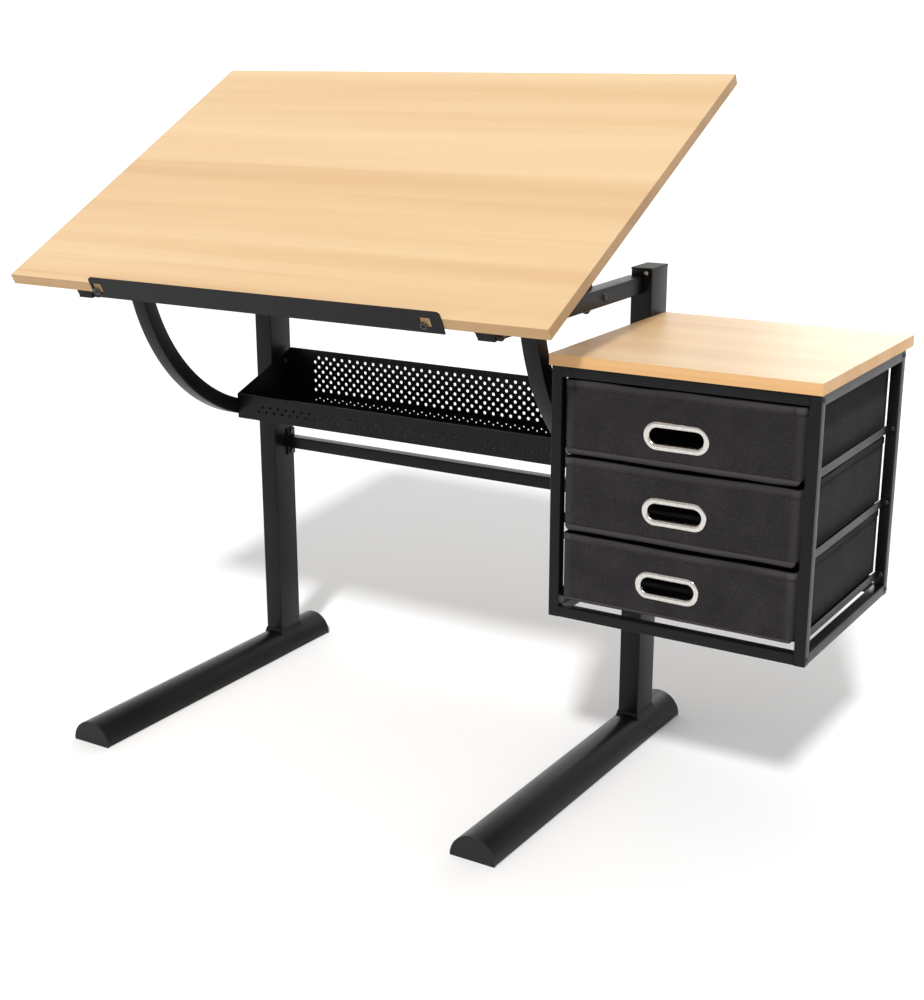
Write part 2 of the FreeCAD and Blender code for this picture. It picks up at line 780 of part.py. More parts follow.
for side, sign in SIDES:
    make_hinge_bracket(side, sign)
    make_stay(side, sign)
    make_knob(side, sign)
make_hinge_bolts()
make_board_screws()
make_clamp_bolts()


# Board panels: chipboard with a thin edging band on all four edges

def make_panel(label, band_label, low, high, where=ROOT):
    inner_low = (f"{low[0]} + edging", f"{low[1]} + edging", low[2])
    inner_high = (f"{high[0]} - edging", f"{high[1]} - edging", high[2])
    keep(group([box(inner_low, inner_high)]), label, where)
    keep(cut(box(low, high), box(inner_low, inner_high)), band_label, where)


make_panel("drawing_board", "board_edging",
           ("-board_w / 2", "-reach", "under_n"),
           ("board_w / 2", "board_d - reach", "under_n + board_thick"), BOARD)
make_panel("cabinet_top", "cabinet_top_edging",
           ("top_left", "top_front", "cab_high"),
           ("top_left + top_w", "top_front + top_d", "cab_high + board_thick"))


# Paper ledge: a steel strip on the board's front edge, free to slide square to
# the board on two screws in square windows

LEDGE_SCREW_HALF = "(ledge_w / 2 - screw_in)"


def make_ledge():
    body = new_body("paper_ledge_body")
    strip = sketch_on(body, "XZ_Plane", "reach + ledge_gap + ledge_thick / 2")
    half = "ledge_w / 2"
    top = "(ledge_low + ledge_tall)"
    bend = "ledge_corner * (1 - sqrt(0.5))"
    trace(strip, [
        (f"-{half}", "ledge_low"), (half, "ledge_low"),
        (half, f"{top} - ledge_corner", (f"{half} - {bend}", f"{top} - {bend}", "ledge_corner")),
        (f"{half} - ledge_corner", top),
        (f"-{half} + ledge_corner", top,
         (f"-{half} + {bend}", f"{top} - {bend}", "ledge_corner")),
        (f"-{half}", f"{top} - ledge_corner")])
    pad(body, strip, "ledge_thick")
    for _, sign in SIDES:
        middle = f"screw_shift + {sign} * {LEDGE_SCREW_HALF}"
        window = sketch_on(body, "XZ_Plane", "reach + ledge_gap + ledge_thick / 2")
        rectangle(window, f"{middle} - window_left", "window_low",
                  f"{middle} + window_right", "window_high")
        pocket(body, window, "3 * ledge_thick")
    keep(body, "paper_ledge", BOARD, x="ledge_shift")


def make_ledge_screws():
    depth = "-(reach + 2 * ledge_gap + ledge_thick)"
    screws = [screw((f"ledge_shift + screw_shift + {sign} * {LEDGE_SCREW_HALF}", depth,
                     "ledge_screw_n"), "-Y", "5.6", "2.2", "2.5", "24") for _, sign in SIDES]
    keep(group(screws), "ledge_screws", BOARD)


make_ledge()
make_ledge_screws()


# Cabinet frame: square tubes screwed together at the corners

CAB_RIGHT = "(cab_left + cab_w)"
CAB_BACK = "(cab_front + cab_d)"
UPRIGHTS_X = {"left": ("cab_left", "cab_left + tube"), "right": (f"{CAB_RIGHT} - tube", CAB_RIGHT)}
UPRIGHTS_Y = {"front": ("cab_front", "cab_front + tube"), "rear": (f"{CAB_BACK} - tube", CAB_BACK)}
RAILS_Z = (("cab_low", "cab_low + tube"), ("cab_high - tube", "cab_high"))


def make_frame_tubes():
    for end, (front, back) in UPRIGHTS_Y.items():
        for side, (left, right) in UPRIGHTS_X.items():
            upright = tube((left, front, "cab_low"), (right, back, "cab_high"), 2, "tube_wall")
            if (end, side) == ("rear", "left"):
                holes = [rod((f"{left} - 1", REAR_TUBE_Y, height), "tube + 2", "3.1", "X")
                         for height in MOUNT_BOLTS]
                upright = cut(upright, *holes)
            keep(upright, f"cabinet_upright_{end}_{side}")
        rails = [tube(("cab_left + tube", front, low), (f"{CAB_RIGHT} - tube", back, high),
                      0, "tube_wall") for low, high in RAILS_Z]
        keep(group(rails), f"cabinet_{end}_rails")
    for side, (left, right) in UPRIGHTS_X.items():
        rails = [tube((left, "cab_front + tube", low), (right, f"{CAB_BACK} - tube", high),
                      1, "tube_wall") for low, high in RAILS_Z]
        keep(group(rails), f"cabinet_{side}_rails")


def make_corner_screws():
    screws = []
    for face, way in (("cab_left", "-X"), (CAB_RIGHT, "X")):
        for y in ("cab_front + tube / 2", REAR_TUBE_Y):
            for z in ("cab_low + tube / 2", "cab_high - tube / 2"):
                screws.append(screw((face, y, z), way, "3.4", "1.8", "2", "22"))
    keep(group(screws), "cabinet_corner_screws")


# Runners: angle strips between the uprights, a tab at each end screwed on

DRAWER_LEVELS = [f"(drawer_low + {number} * drawer_step)" for number in (2, 1, 0)]


def make_runners(side, face, inward):
    """face is the cabinet's side; inward is +1 on the left, -1 on the right."""
    runners = []
    screws = []
    outer = f"({face} + {inward} * runner_in)"
    front = "(cab_front + tube)"
    back = f"({CAB_BACK} - tube)"

    def strip(near, far, y_low, y_high, z_low, z_high):
        low_x, high_x = (near, far) if inward > 0 else (far, near)
        return box((low_x, y_low, z_low), (high_x, y_high, z_high))

    def into(distance):
        return f"{outer} + {inward} * {distance}"

    for level in DRAWER_LEVELS:
        low = f"{level} - runner_thick - 0.3"
        high = f"{low} + runner_tall"
        web = strip(outer, into("runner_thick"), front, back, low, high)
        shelf = strip(outer, into("runner_wide"), front, back, low, f"{low} + runner_thick")
        tabs = [strip(into("(-9)"), into("runner_thick"), y_low, y_high, low, high)
                for y_low, y_high in ((front, f"{front} + runner_thick"),
                                      (f"{back} - runner_thick", back))]
        runners.append(fuse(web, shelf, *tabs))
        spot_x = into("(-4.5)")
        spot_z = f"{low} + runner_tall / 2"
        screws.append(screw((spot_x, f"{front} + runner_thick", spot_z), "Y", "3", "1.6", "1.5", "6"))
        screws.append(screw((spot_x, f"{back} - runner_thick", spot_z), "-Y", "3", "1.6", "1.5", "6"))
    keep(group(runners), f"drawer_runners_{side}")
    return screws


def make_cabinet_mounts():
    """Spacer plates between the post and the cabinet, with hex bolts through."""
    plates = []
    bolts = []
    for level in MOUNT_LEVELS:
        plate = box((OUTER_FACE, "2", f"{level} - 30"), ("cab_left", "50", f"{level} + 30"))
        holes = [rod((f"{OUTER_FACE} - 1", REAR_TUBE_Y, f"{level} + {rise}"),
                     f"cab_left - {OUTER_FACE} + 2", "3.1", "X") for rise in (-18, 18)]
        plates.append(cut(plate, *holes))
    for height in MOUNT_BOLTS:
        head_at = ("cab_left + tube", REAR_TUBE_Y, height)
        bolts.append(screw(head_at, "X", "5", "3.6", "3", "26", sides=6))
    keep(group(plates), "cabinet_mount_plates")
    keep(group(bolts), "cabinet_mount_bolts")


def make_top_screws():
    screws = []
    for x in ("cab_left + tube / 2", f"{CAB_RIGHT} - tube / 2"):
        for y in ("cab_front + 70", f"{CAB_BACK} - 70"):
            screws.append(screw((x, y, "cab_high - tube"), "-Z", "3.6", "1.8", "2", "27"))
    keep(group(screws), "cabinet_top_screws")


make_frame_tubes()
make_corner_screws()
left_screws = make_runners("left", "cab_left", 1)
right_screws = make_runners("right", CAB_RIGHT, -1)
keep(group(left_screws + right_screws), "runner_screws")
make_cabinet_mounts()
make_top_screws()


# Drawers: stiffened cloth boxes, open on top, with a base board inside and an
# oval metal ring round a hand-hole in the front

DRAWER_X = "(cab_left + cab_w / 2)"
RING_SHIFT = (-4, -3, -9)
RING_RISE = (34, 38, 41)
RING_INNER = ("(ring_long - 2 * ring_rim)", "(ring_tall - 2 * ring_rim)")
RING_BARREL = (f"({RING_INNER[0]} + 5)", f"({RING_INNER[1]} + 5)")


def make_drawer_box(number, level, shift, rise):
    body = new_body(f"drawer_{number}_box_body")
    shell = sketch_on(body, "XY_Plane")
    rectangle(shell, "-drawer_w / 2", "0", "drawer_w / 2", "drawer_d")
    pad(body, shell, "drawer_tall", both=False)
    round_edges(body, "cloth", lambda edge: abs(edge.tangentAt(0).z) > 0.9)
    hollow = sketch_on(body, "XY_Plane", "drawer_tall")
    rectangle(hollow, "-drawer_w / 2 + cloth", "cloth",
              "drawer_w / 2 - cloth", "drawer_d - cloth")
    pocket(body, hollow, "drawer_tall - cloth", both=False)
    hand_hole = sketch_on(body, "XZ_Plane", "-cloth / 2")
    hand_hole.AttachmentOffset = FreeCAD.Placement(V(shift, rise, 0), FreeCAD.Rotation())
    bind(hand_hole, AttachmentOffset__Base__z="-cloth / 2")
    obround(hand_hole, f"{RING_BARREL[0]} + 1", f"{RING_BARREL[1]} + 1")
    pocket(body, hand_hole, "4 * cloth")
    keep(body, f"drawer_{number}_box", x=DRAWER_X, y="drawer_front", z=level)


def make_drawer_base(number, level):
    inset = "(cloth + 0.5)"
    board = box((f"{DRAWER_X} - drawer_w / 2 + {inset}", f"drawer_front + {inset}",
                 f"{level} + cloth"),
                (f"{DRAWER_X} + drawer_w / 2 - {inset}", f"drawer_front + drawer_d - {inset}",
                 f"{level} + cloth + insert"))
    keep(group([board]), f"drawer_{number}_base")


def make_ring(number, level, shift, rise):
    """A rounded rim in front, a barrel through the cloth and a flat back rim."""
    body = new_body(f"drawer_{number}_grommet_body")
    rim = sketch_on(body, "XZ_Plane", "ring_proud / 2")
    obround(rim, "ring_long", "ring_tall")
    pad(body, rim, "ring_proud")
    round_edges(body, "ring_proud * 0.85",
                lambda edge: edge.BoundBox.YMax < -0.5 * value("ring_proud"))
    barrel = sketch_on(body, "XZ_Plane", "-cloth / 2")
    obround(barrel, *RING_BARREL)
    pad(body, barrel, "cloth")
    back = sketch_on(body, "XZ_Plane", "-cloth - 0.5")
    obround(back, "ring_long - 4", "ring_tall - 4")
    pad(body, back, "1")
    opening = sketch_on(body, "XZ_Plane")
    obround(opening, *RING_INNER)
    pocket(body, opening, "8 * cloth")
    round_edges(body, "ring_proud * 0.7", is_inner_front_edge)
    keep(body, f"drawer_{number}_grommet", x=f"{DRAWER_X} + {shift}", y="drawer_front",
         z=f"{level} + {rise}")


def is_inner_front_edge(edge):
    box_of = edge.BoundBox
    in_front = box_of.YMax < -0.9 * value("ring_proud")
    return in_front and box_of.ZMax < value(RING_INNER[1]) / 2 + 0.1 and box_of.XLength > 0.1


for number, (level, shift, rise) in enumerate(zip(DRAWER_LEVELS, RING_SHIFT, RING_RISE), start=1):
    make_drawer_box(number, level, shift, rise)
    make_drawer_base(number, level)
    make_ring(number, level, shift, rise)


# Check every object, then write one file for each sub-part

doc.recompute()
failed = [thing.Name for thing in doc.Objects if {"Invalid", "Error"} & set(thing.State)]
for thing in kept:
    if thing.Shape.isNull() or not thing.Shape.isValid():
        failed.append(thing.Label)
if failed:
    raise RuntimeError(f"not built: {failed}")

os.makedirs("parts", exist_ok=True)
for thing in kept:
    thing.Shape.exportStep(f"parts/{thing.Label}.step")
    print(f"{thing.Label:30s} {len(thing.Shape.Solids):3d} solids {thing.Shape.Volume / 1000:10.2f} cm3")
print(len(kept), "sub-parts")
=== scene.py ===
import json
import math

import bmesh
import bpy
import numpy as np
from mathutils import Matrix, Vector


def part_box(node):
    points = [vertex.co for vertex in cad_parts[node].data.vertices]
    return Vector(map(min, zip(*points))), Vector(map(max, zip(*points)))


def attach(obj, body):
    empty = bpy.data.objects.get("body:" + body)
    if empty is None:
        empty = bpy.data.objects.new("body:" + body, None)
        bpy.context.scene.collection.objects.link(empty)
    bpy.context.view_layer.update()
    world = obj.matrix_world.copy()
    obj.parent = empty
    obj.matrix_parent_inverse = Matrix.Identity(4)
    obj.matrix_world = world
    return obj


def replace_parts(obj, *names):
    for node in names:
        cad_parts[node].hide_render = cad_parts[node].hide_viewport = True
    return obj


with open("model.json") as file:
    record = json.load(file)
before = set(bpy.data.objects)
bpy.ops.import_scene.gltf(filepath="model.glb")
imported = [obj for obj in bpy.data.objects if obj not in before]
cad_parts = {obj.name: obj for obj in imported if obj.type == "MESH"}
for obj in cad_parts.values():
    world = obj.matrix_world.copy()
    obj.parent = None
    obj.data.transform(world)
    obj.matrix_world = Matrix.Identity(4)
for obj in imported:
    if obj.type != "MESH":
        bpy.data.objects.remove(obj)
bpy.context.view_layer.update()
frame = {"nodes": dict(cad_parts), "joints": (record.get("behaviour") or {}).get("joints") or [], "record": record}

# A drafting table: a wood-effect board that tilts on two black steel legs, a
# perforated tray and a crossbar between them, and a cabinet of three cloth
# drawers on the right leg. Sections follow the table as it is put together.


# ---------------------------------------------------------------- camera
# A lens a little longer than normal, in front of the table's right end and
# above it, with the horizon turned by under a degree.

FOCAL = 58.44
EYE = Vector((1.2164, -1.9633, 1.0862))
AROUND, ABOVE, ROLL = math.radians(33.96), math.radians(17.60), math.radians(-0.84)

back = Vector((math.sin(AROUND) * math.cos(ABOVE), -math.cos(AROUND) * math.cos(ABOVE),
               math.sin(ABOVE)))
level = Vector((math.cos(AROUND), math.sin(AROUND), 0))
upright = back.cross(level)
right = level * math.cos(ROLL) + upright * math.sin(ROLL)
up = upright * math.cos(ROLL) - level * math.sin(ROLL)

lens = bpy.data.cameras.new("camera")
lens.lens, lens.sensor_width = FOCAL, 36
lens.shift_x, lens.shift_y = 0.0664, 0.0305
camera = bpy.data.objects.new("camera", lens)
camera.matrix_world = Matrix.Translation(EYE) @ Matrix((right, up, back)).transposed().to_4x4()
bpy.context.scene.collection.objects.link(camera)
bpy.context.scene.camera = camera


# ---------------------------------------------------------------- studio
# A matt white paper sweep, a firm-edged key light from the front, a low soft
# box behind the table and a bright white room round them. The paper's fibres
# are about 1 mm long.

def linear(colour):
    """An sRGB hex colour as linear red, green and blue, and an alpha of 1."""
    parts = np.array([int(colour[k:k + 2], 16) for k in (1, 3, 5)]) / 255
    low, high = parts / 12.92, ((parts + 0.055) / 1.055) ** 2.4
    return (*np.where(parts <= 0.04045, low, high), 1.0)


def material(name):
    """A new material, its node tree and its shader."""
    made = bpy.data.materials.new(name)
    made.use_nodes = True
    return made, made.node_tree, made.node_tree.nodes["Principled BSDF"]


def node(tree, kind, links=None, **settings):
    """Adds a node. links gives {input: output socket}; a setting is a property,
    or with an underscore in front, the value of an input of that name."""
    added = tree.nodes.new("ShaderNode" + kind)
    for name, setting in settings.items():
        if name.startswith("_"):
            added.inputs[name[1:].replace("_", " ")].default_value = setting
        else:
            setattr(added, name, setting)
    for name, socket in (links or {}).items():
        tree.links.new(socket, added.inputs[name])
    return added


def ramp(tree, factor, stops):
    """A colour ramp on a factor; stops are (place, hex colour)."""
    added = node(tree, "ValToRGB", {"Fac": factor})
    marks = added.color_ramp.elements
    while len(marks) < len(stops):
        marks.new(0.5)
    for mark, (place, colour) in zip(marks, stops):
        mark.position, mark.color = place, linear(colour)
    return added.outputs["Color"]


def mesh_object(name, points, faces, smooth=True):
    """An object from an array of points (metres) and arrays of faces."""
    mesh = bpy.data.meshes.new(name)
    mesh.from_pydata(np.asarray(points).tolist(), [], [list(face) for face in faces])
    mesh.polygons.foreach_set("use_smooth", np.full(len(mesh.polygons), smooth))
    mesh.update()
    made = bpy.data.objects.new(name, mesh)
    bpy.context.scene.collection.objects.link(made)
    return made


def grid_faces(rows, columns, close_rows=False, close_columns=False):
    """Quads over a grid of rows x columns points, closed round either way."""
    i = np.arange(rows if close_rows else rows - 1)[:, None]
    j = np.arange(columns if close_columns else columns - 1)[None, :]
    i2, j2 = (i + 1) % rows, (j + 1) % columns
    quads = np.stack(np.broadcast_arrays(i * columns + j, i * columns + j2,
                                         i2 * columns + j2, i2 * columns + j), axis=-1)
    return quads.reshape(-1, 4)


paper, tree, shader = material("matt_white_paper")
spot = node(tree, "TexCoord").outputs["Object"]
fibre = node(tree, "TexNoise", {"Vector": spot}, _Scale=900.0, _Detail=3.0)
tree.links.new(ramp(tree, fibre.outputs["Fac"], [(0.0, "#F7F7F7"), (1.0, "#FBFBFB")]),
               shader.inputs["Base Color"])
shader.inputs["Roughness"].default_value = 0.85
shader.inputs["Specular IOR Level"].default_value = 0.2

turn = np.linspace(0, math.pi / 2, 24)
run = np.concatenate([[-9.0], 8.0 + 3.0 * np.sin(turn), [11.0]])
rise = np.concatenate([[0.0], 3.0 - 3.0 * np.cos(turn), [9.0]])
along = np.linspace(-14, 14, 2)
toward = np.array([-math.sin(AROUND), math.cos(AROUND), 0])
across = np.array([math.cos(AROUND), math.sin(AROUND), 0])
sweep = (run[:, None, None] * toward + along[None, :, None] * across
         + rise[:, None, None] * np.array([0, 0, 1.0]))
floor = mesh_object("paper_sweep", sweep.reshape(-1, 3), grid_faces(len(run), 2)[:, ::-1])
floor.data.materials.append(paper)


def soft_box(name, place, target, width, height, power):
    """A rectangular area light turned to face a point."""
    data = bpy.data.lights.new(name, "AREA")
    data.shape, data.size, data.size_y, data.energy = "RECTANGLE", width, height, power
    lamp = bpy.data.objects.new(name, data)
    lamp.location = place
    lamp.rotation_euler = (Vector(target) - Vector(place)).to_track_quat("-Z", "Y").to_euler()
    bpy.context.scene.collection.objects.link(lamp)


key = bpy.data.lights.new("key", "SUN")
key.energy, key.angle = 2.5, math.radians(5)
key_lamp = bpy.data.objects.new("key", key)
key_lamp.rotation_euler = Vector((0.42, -1.07, 1.0)).to_track_quat("Z", "Y").to_euler()
bpy.context.scene.collection.objects.link(key_lamp)
soft_box("behind", (-0.2, 3.3, 1.35), (0.5, 0.1, 0.72), 1.0, 0.6, 9)

room = bpy.data.worlds.new("white_room")
room.use_nodes = True
room.node_tree.nodes["Background"].inputs["Color"].default_value = linear("#FFFFFF")
room.node_tree.nodes["Background"].inputs["Strength"].default_value = 0.58
bpy.context.scene.world = room
bpy.context.scene.view_settings.view_transform = "Standard"


# ---------------------------------------------------------------- steel legs
# Feet, posts, arms and braces are cold-rolled tube with rounded corners, welded
# together and powder-coated satin black as one frame.

MM = 0.001
TUBE_ROUND = 1.8  # corner radius and wall of the tube, mm
WALL = 1.5
FOOT_SIDE = 5 * MM
BRACE_ROUND = 315 * MM


def powder_coat(name, colour, high, gloss):
    """Satin powder coat: black with a faint cloudiness where the coat is
    thinner, and an orange peel about 1.5 mm across over a 0.5 mm grit."""
    made, tree, shader = material(name)
    spot = node(tree, "TexCoord").outputs["Object"]
    cloud = node(tree, "TexNoise", {"Vector": spot}, _Scale=1 / (90 * MM), _Detail=4.0)
    peel = node(tree, "TexNoise", {"Vector": spot}, _Scale=1 / (1.5 * MM), _Detail=2.0)
    grit = node(tree, "TexNoise", {"Vector": spot}, _Scale=1 / (0.5 * MM), _Detail=1.0)
    tree.links.new(ramp(tree, cloud.outputs["Fac"], [(0.3, colour), (0.75, high)]),
                   shader.inputs["Base Color"])
    sheen = node(tree, "MapRange", {"Value": cloud.outputs["Fac"]}, _From_Min=0.3,
                 _From_Max=0.7, _To_Min=gloss - 0.05, _To_Max=gloss + 0.07)
    tree.links.new(sheen.outputs["Result"], shader.inputs["Roughness"])
    relief = node(tree, "Math", {0: peel.outputs["Fac"], 1: grit.outputs["Fac"]}, operation="ADD")
    bump = node(tree, "Bump", {"Height": relief.outputs[0]}, _Strength=0.16, _Distance=0.25 * MM)
    tree.links.new(bump.outputs["Normal"], shader.inputs["Normal"])
    shader.inputs["Specular IOR Level"].default_value = 0.2
    return made


black_coat = powder_coat("satin_powder_coat", "#0A0A0B", "#121213", 0.32)


def rounded_outline(half_a, half_b, radius, steps=5):
    """Points round a rectangle of the two half-sizes, with quarter-circle
    corners of the radius, anticlockwise."""
    angle = np.linspace(0, math.pi / 2, steps)
    quarter = np.stack([np.cos(angle), np.sin(angle)], -1) * radius
    turns = [(1, 1, 0), (-1, 1, 1), (-1, -1, 2), (1, -1, 3)]
    points = []
    for sign_a, sign_b, number in turns:
        cos, sin = [(1, 0), (0, 1), (-1, 0), (0, -1)][number]
        rotated = quarter @ np.array([[cos, sin], [-sin, cos]])
        points.append(rotated + [sign_a * (half_a - radius), sign_b * (half_b - radius)])
    return np.concatenate(points)


def swept_tube(name, path, side, lift, outer, inner):
    """A tube: its outer outline is carried along the path and its inner one
    back again, so that walls and both end rings close in one surface. side
    and lift are the directions of the outline's two axes at each point."""
    def carried(outline, order):
        return (path[order, None] + outline[None, :, :1] * side[order, None]
                + outline[None, :, 1:] * lift[order, None])

    order = np.arange(len(path))
    rings = np.concatenate([carried(outer, order), carried(inner, order[::-1])])
    faces = grid_faces(len(rings), len(outer), close_rows=True, close_columns=True)
    ahead = path[1] - path[0]
    if np.dot(np.cross(side[0], lift[0]), ahead) < 0:
        faces = faces[:, ::-1]
    made = mesh_object(name, rings.reshape(-1, 3), faces)
    made.data.set_sharp_from_angle(angle=math.radians(50))
    return made


AXES = np.eye(3)


def straight_tube(name, low, high, along, wall=WALL, radius=TUBE_ROUND):
    """A box tube that fills the space from low to high along one axis."""
    low, high = np.array(low), np.array(high)
    first, second = [axis for axis in range(3) if axis != along]
    half = (high - low) / 2
    middle = (high + low) / 2
    path = np.array([middle - AXES[along] * half[along], middle + AXES[along] * half[along]])
    outer = rounded_outline(half[first], half[second], radius * MM)
    inner = rounded_outline(half[first] - wall * MM, half[second] - wall * MM,
                            max(radius - wall, 0.3) * MM)
    side = np.repeat(AXES[first][None], 2, 0)
    lift = np.repeat(AXES[second][None], 2, 0)
    return swept_tube(name, path, side, lift, outer, inner)


def finish(piece, body, slot, *materials):
    """Materials and body of a new piece; slot is not used."""
    for each in materials:
        piece.data.materials.append(each)
    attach(piece, body)
    return piece


def foot_outline(half, tall, side, inset, steps=25):
    """Half of a flattened round: a flat base, short upright sides with small
    corner radii, and an arc from side to side over the top."""
    radius = (half ** 2 + (tall - side) ** 2) / (2 * (tall - side))
    reach = math.asin(half / radius)
    angle = np.linspace(reach, -reach, steps)
    shrunk = radius - inset
    arc = np.stack([shrunk * np.sin(angle), tall - radius + shrunk * np.cos(angle)], -1)
    arc[:, 0] = np.clip(arc[:, 0], -(half - inset), half - inset)
    corner = 2.0 * MM
    turn = np.linspace(0, math.pi / 2, 4)
    left = np.stack([-(half - inset - corner) - corner * np.cos(turn),
                     inset + corner - corner * np.sin(turn)], -1)
    right_side = left[::-1] * [-1, 1]
    return np.concatenate([right_side, arc, left])


for side_name in ("left", "right"):
    low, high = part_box(f"foot_{side_name}")
    centre = (low[0] + high[0]) / 2
    half, tall = (high[0] - low[0]) / 2, high[2]
    path = np.array([[centre, low[1], 0], [centre, high[1], 0]])
    side = np.repeat(AXES[0][None], 2, 0)
    lift = np.repeat(AXES[2][None], 2, 0)
    outer = foot_outline(half, tall, FOOT_SIDE, 0)
    inner = foot_outline(half, tall, FOOT_SIDE, WALL * MM)
    foot = swept_tube(f"foot_tube_{side_name}", path, side, lift, outer, inner)
    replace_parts(finish(foot, "root", "black_steel", black_coat), f"foot_{side_name}")

    for piece_name, along in (("post", 2), ("arm", 1)):
        cad_name = f"{piece_name}_{side_name}"
        low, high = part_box(cad_name)
        tube = straight_tube(f"{piece_name}_tube_{side_name}", low, high, along)
        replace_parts(finish(tube, "root", "black_steel", black_coat), cad_name)

    cad_name = f"arc_brace_{side_name}"
    low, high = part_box(cad_name)
    half = (high[0] - low[0]) / 2
    hub = np.array([(low[0] + high[0]) / 2, high[1], low[2] + half + BRACE_ROUND])
    cut_angle = math.asin((hub[2] - high[2]) / BRACE_ROUND)
    angle = np.linspace(-math.pi / 2, -math.pi + cut_angle, 49)
    away = np.stack([0 * angle, np.cos(angle), np.sin(angle)], -1)
    path = hub + away * BRACE_ROUND
    side = np.repeat(AXES[0][None], len(angle), 0)
    outer = rounded_outline(half, half, TUBE_ROUND * MM)
    inner = rounded_outline(half - WALL * MM, half - WALL * MM, 0.3 * MM)
    brace = swept_tube(f"brace_tube_{side_name}", path, side, away, outer, inner)
    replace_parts(finish(brace, "root", "black_steel", black_coat), cad_name)

low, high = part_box("crossbar")
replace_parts(finish(straight_tube("crossbar_tube", low, high, 0), "root", "black_steel",
                   black_coat), "crossbar")


def dress(material_made, *names):
    """Gives CAD pieces that keep their own shape a finished material."""
    for name in names:
        slots = frame["nodes"][name].data.materials
        slots.clear()
        slots.append(material_made)


dress(black_coat, "crossbar_flanges", "weld_beads", "tilt_stay_left", "tilt_stay_right",
      "hinge_bracket_left", "hinge_bracket_right", "cabinet_mount_plates")


# ---------------------------------------------------------------- plastic ends
# Injection-moulded polypropylene: caps on the feet, and plugs in the ends of
# posts and arms. A fine spark-eroded grain makes them duller than the coat.

moulded, tree, shader = material("moulded_polypropylene")
spot = node(tree, "TexCoord").outputs["Object"]
grain = node(tree, "TexNoise", {"Vector": spot}, _Scale=1 / (0.8 * MM), _Detail=4.0)
tree.links.new(ramp(tree, grain.outputs["Fac"], [(0.3, "#101011"), (0.7, "#19191A")]),
               shader.inputs["Base Color"])
rough = node(tree, "MapRange", {"Value": grain.outputs["Fac"]}, _To_Min=0.42, _To_Max=0.6)
tree.links.new(rough.outputs["Result"], shader.inputs["Roughness"])
bump = node(tree, "Bump", {"Height": grain.outputs["Fac"]}, _Strength=0.25, _Distance=0.2 * MM)
tree.links.new(bump.outputs["Normal"], shader.inputs["Normal"])
shader.inputs["Specular IOR Level"].default_value = 0.3
dress(moulded, "foot_caps", "post_plugs", "arm_plugs")


# ---------------------------------------------------------------- tray
# One folded sheet of perforated steel, powder-coated like the frame.

dress(black_coat, "tray")


# ---------------------------------------------------------------- screws
# Pan-head machine screws with a hexagon socket, black oxide on the frame and
# bright zinc in the post plugs.

SOCKET_WIDE = 0.42  # shares of the head's radius and of its height
SOCKET_DEEP = 0.75


def screw_metal(name, dark, light, gloss, metal):
    """Turned and plated steel with fine spots of wear about 0.7 mm across."""
    made, tree, shader = material(name)
    spot = node(tree, "TexCoord").outputs["Object"]
    wear = node(tree, "TexNoise", {"Vector": spot}, _Scale=1 / (0.7 * MM), _Detail=3.0)
    tree.links.new(ramp(tree, wear.outputs["Fac"], [(0.3, dark), (0.7, light)]),
                   shader.inputs["Base Color"])
    rough = node(tree, "MapRange", {"Value": wear.outputs["Fac"]}, _To_Min=gloss,
                 _To_Max=gloss + 0.15)
    tree.links.new(rough.outputs["Result"], shader.inputs["Roughness"])
    shader.inputs["Metallic"].default_value = metal
    return made


black_oxide = screw_metal("black_oxide_steel", "#1B1B1C", "#2A2A2B", 0.3, 0.0)
bright_zinc = screw_metal("bright_zinc_plate", "#B9B9B6", "#D6D6D2", 0.2, 1.0)


def solids(name):
    """The points of each separate solid of a CAD piece."""
    mesh = frame["nodes"][name].data
    points = np.empty(len(mesh.vertices) * 3)
    mesh.vertices.foreach_get("co", points)
    points = points.reshape(-1, 3)
    keys = np.round(points * 1e5).astype(np.int64)
    _, same = np.unique(keys, axis=0, return_inverse=True)
    same = same.reshape(-1)
    corners = np.empty(len(mesh.loops), np.int64)
    mesh.loops.foreach_get("vertex_index", corners)
    triangles = same[corners].reshape(-1, 3)
    label = np.arange(same.max() + 1)
    while True:
        lowest = label[triangles].min(1)
        before = label.copy()
        for column in range(3):
            np.minimum.at(label, triangles[:, column], lowest)
        if (before == label).all():
            break
    found = label[same]
    return [points[found == number] for number in np.unique(found)]


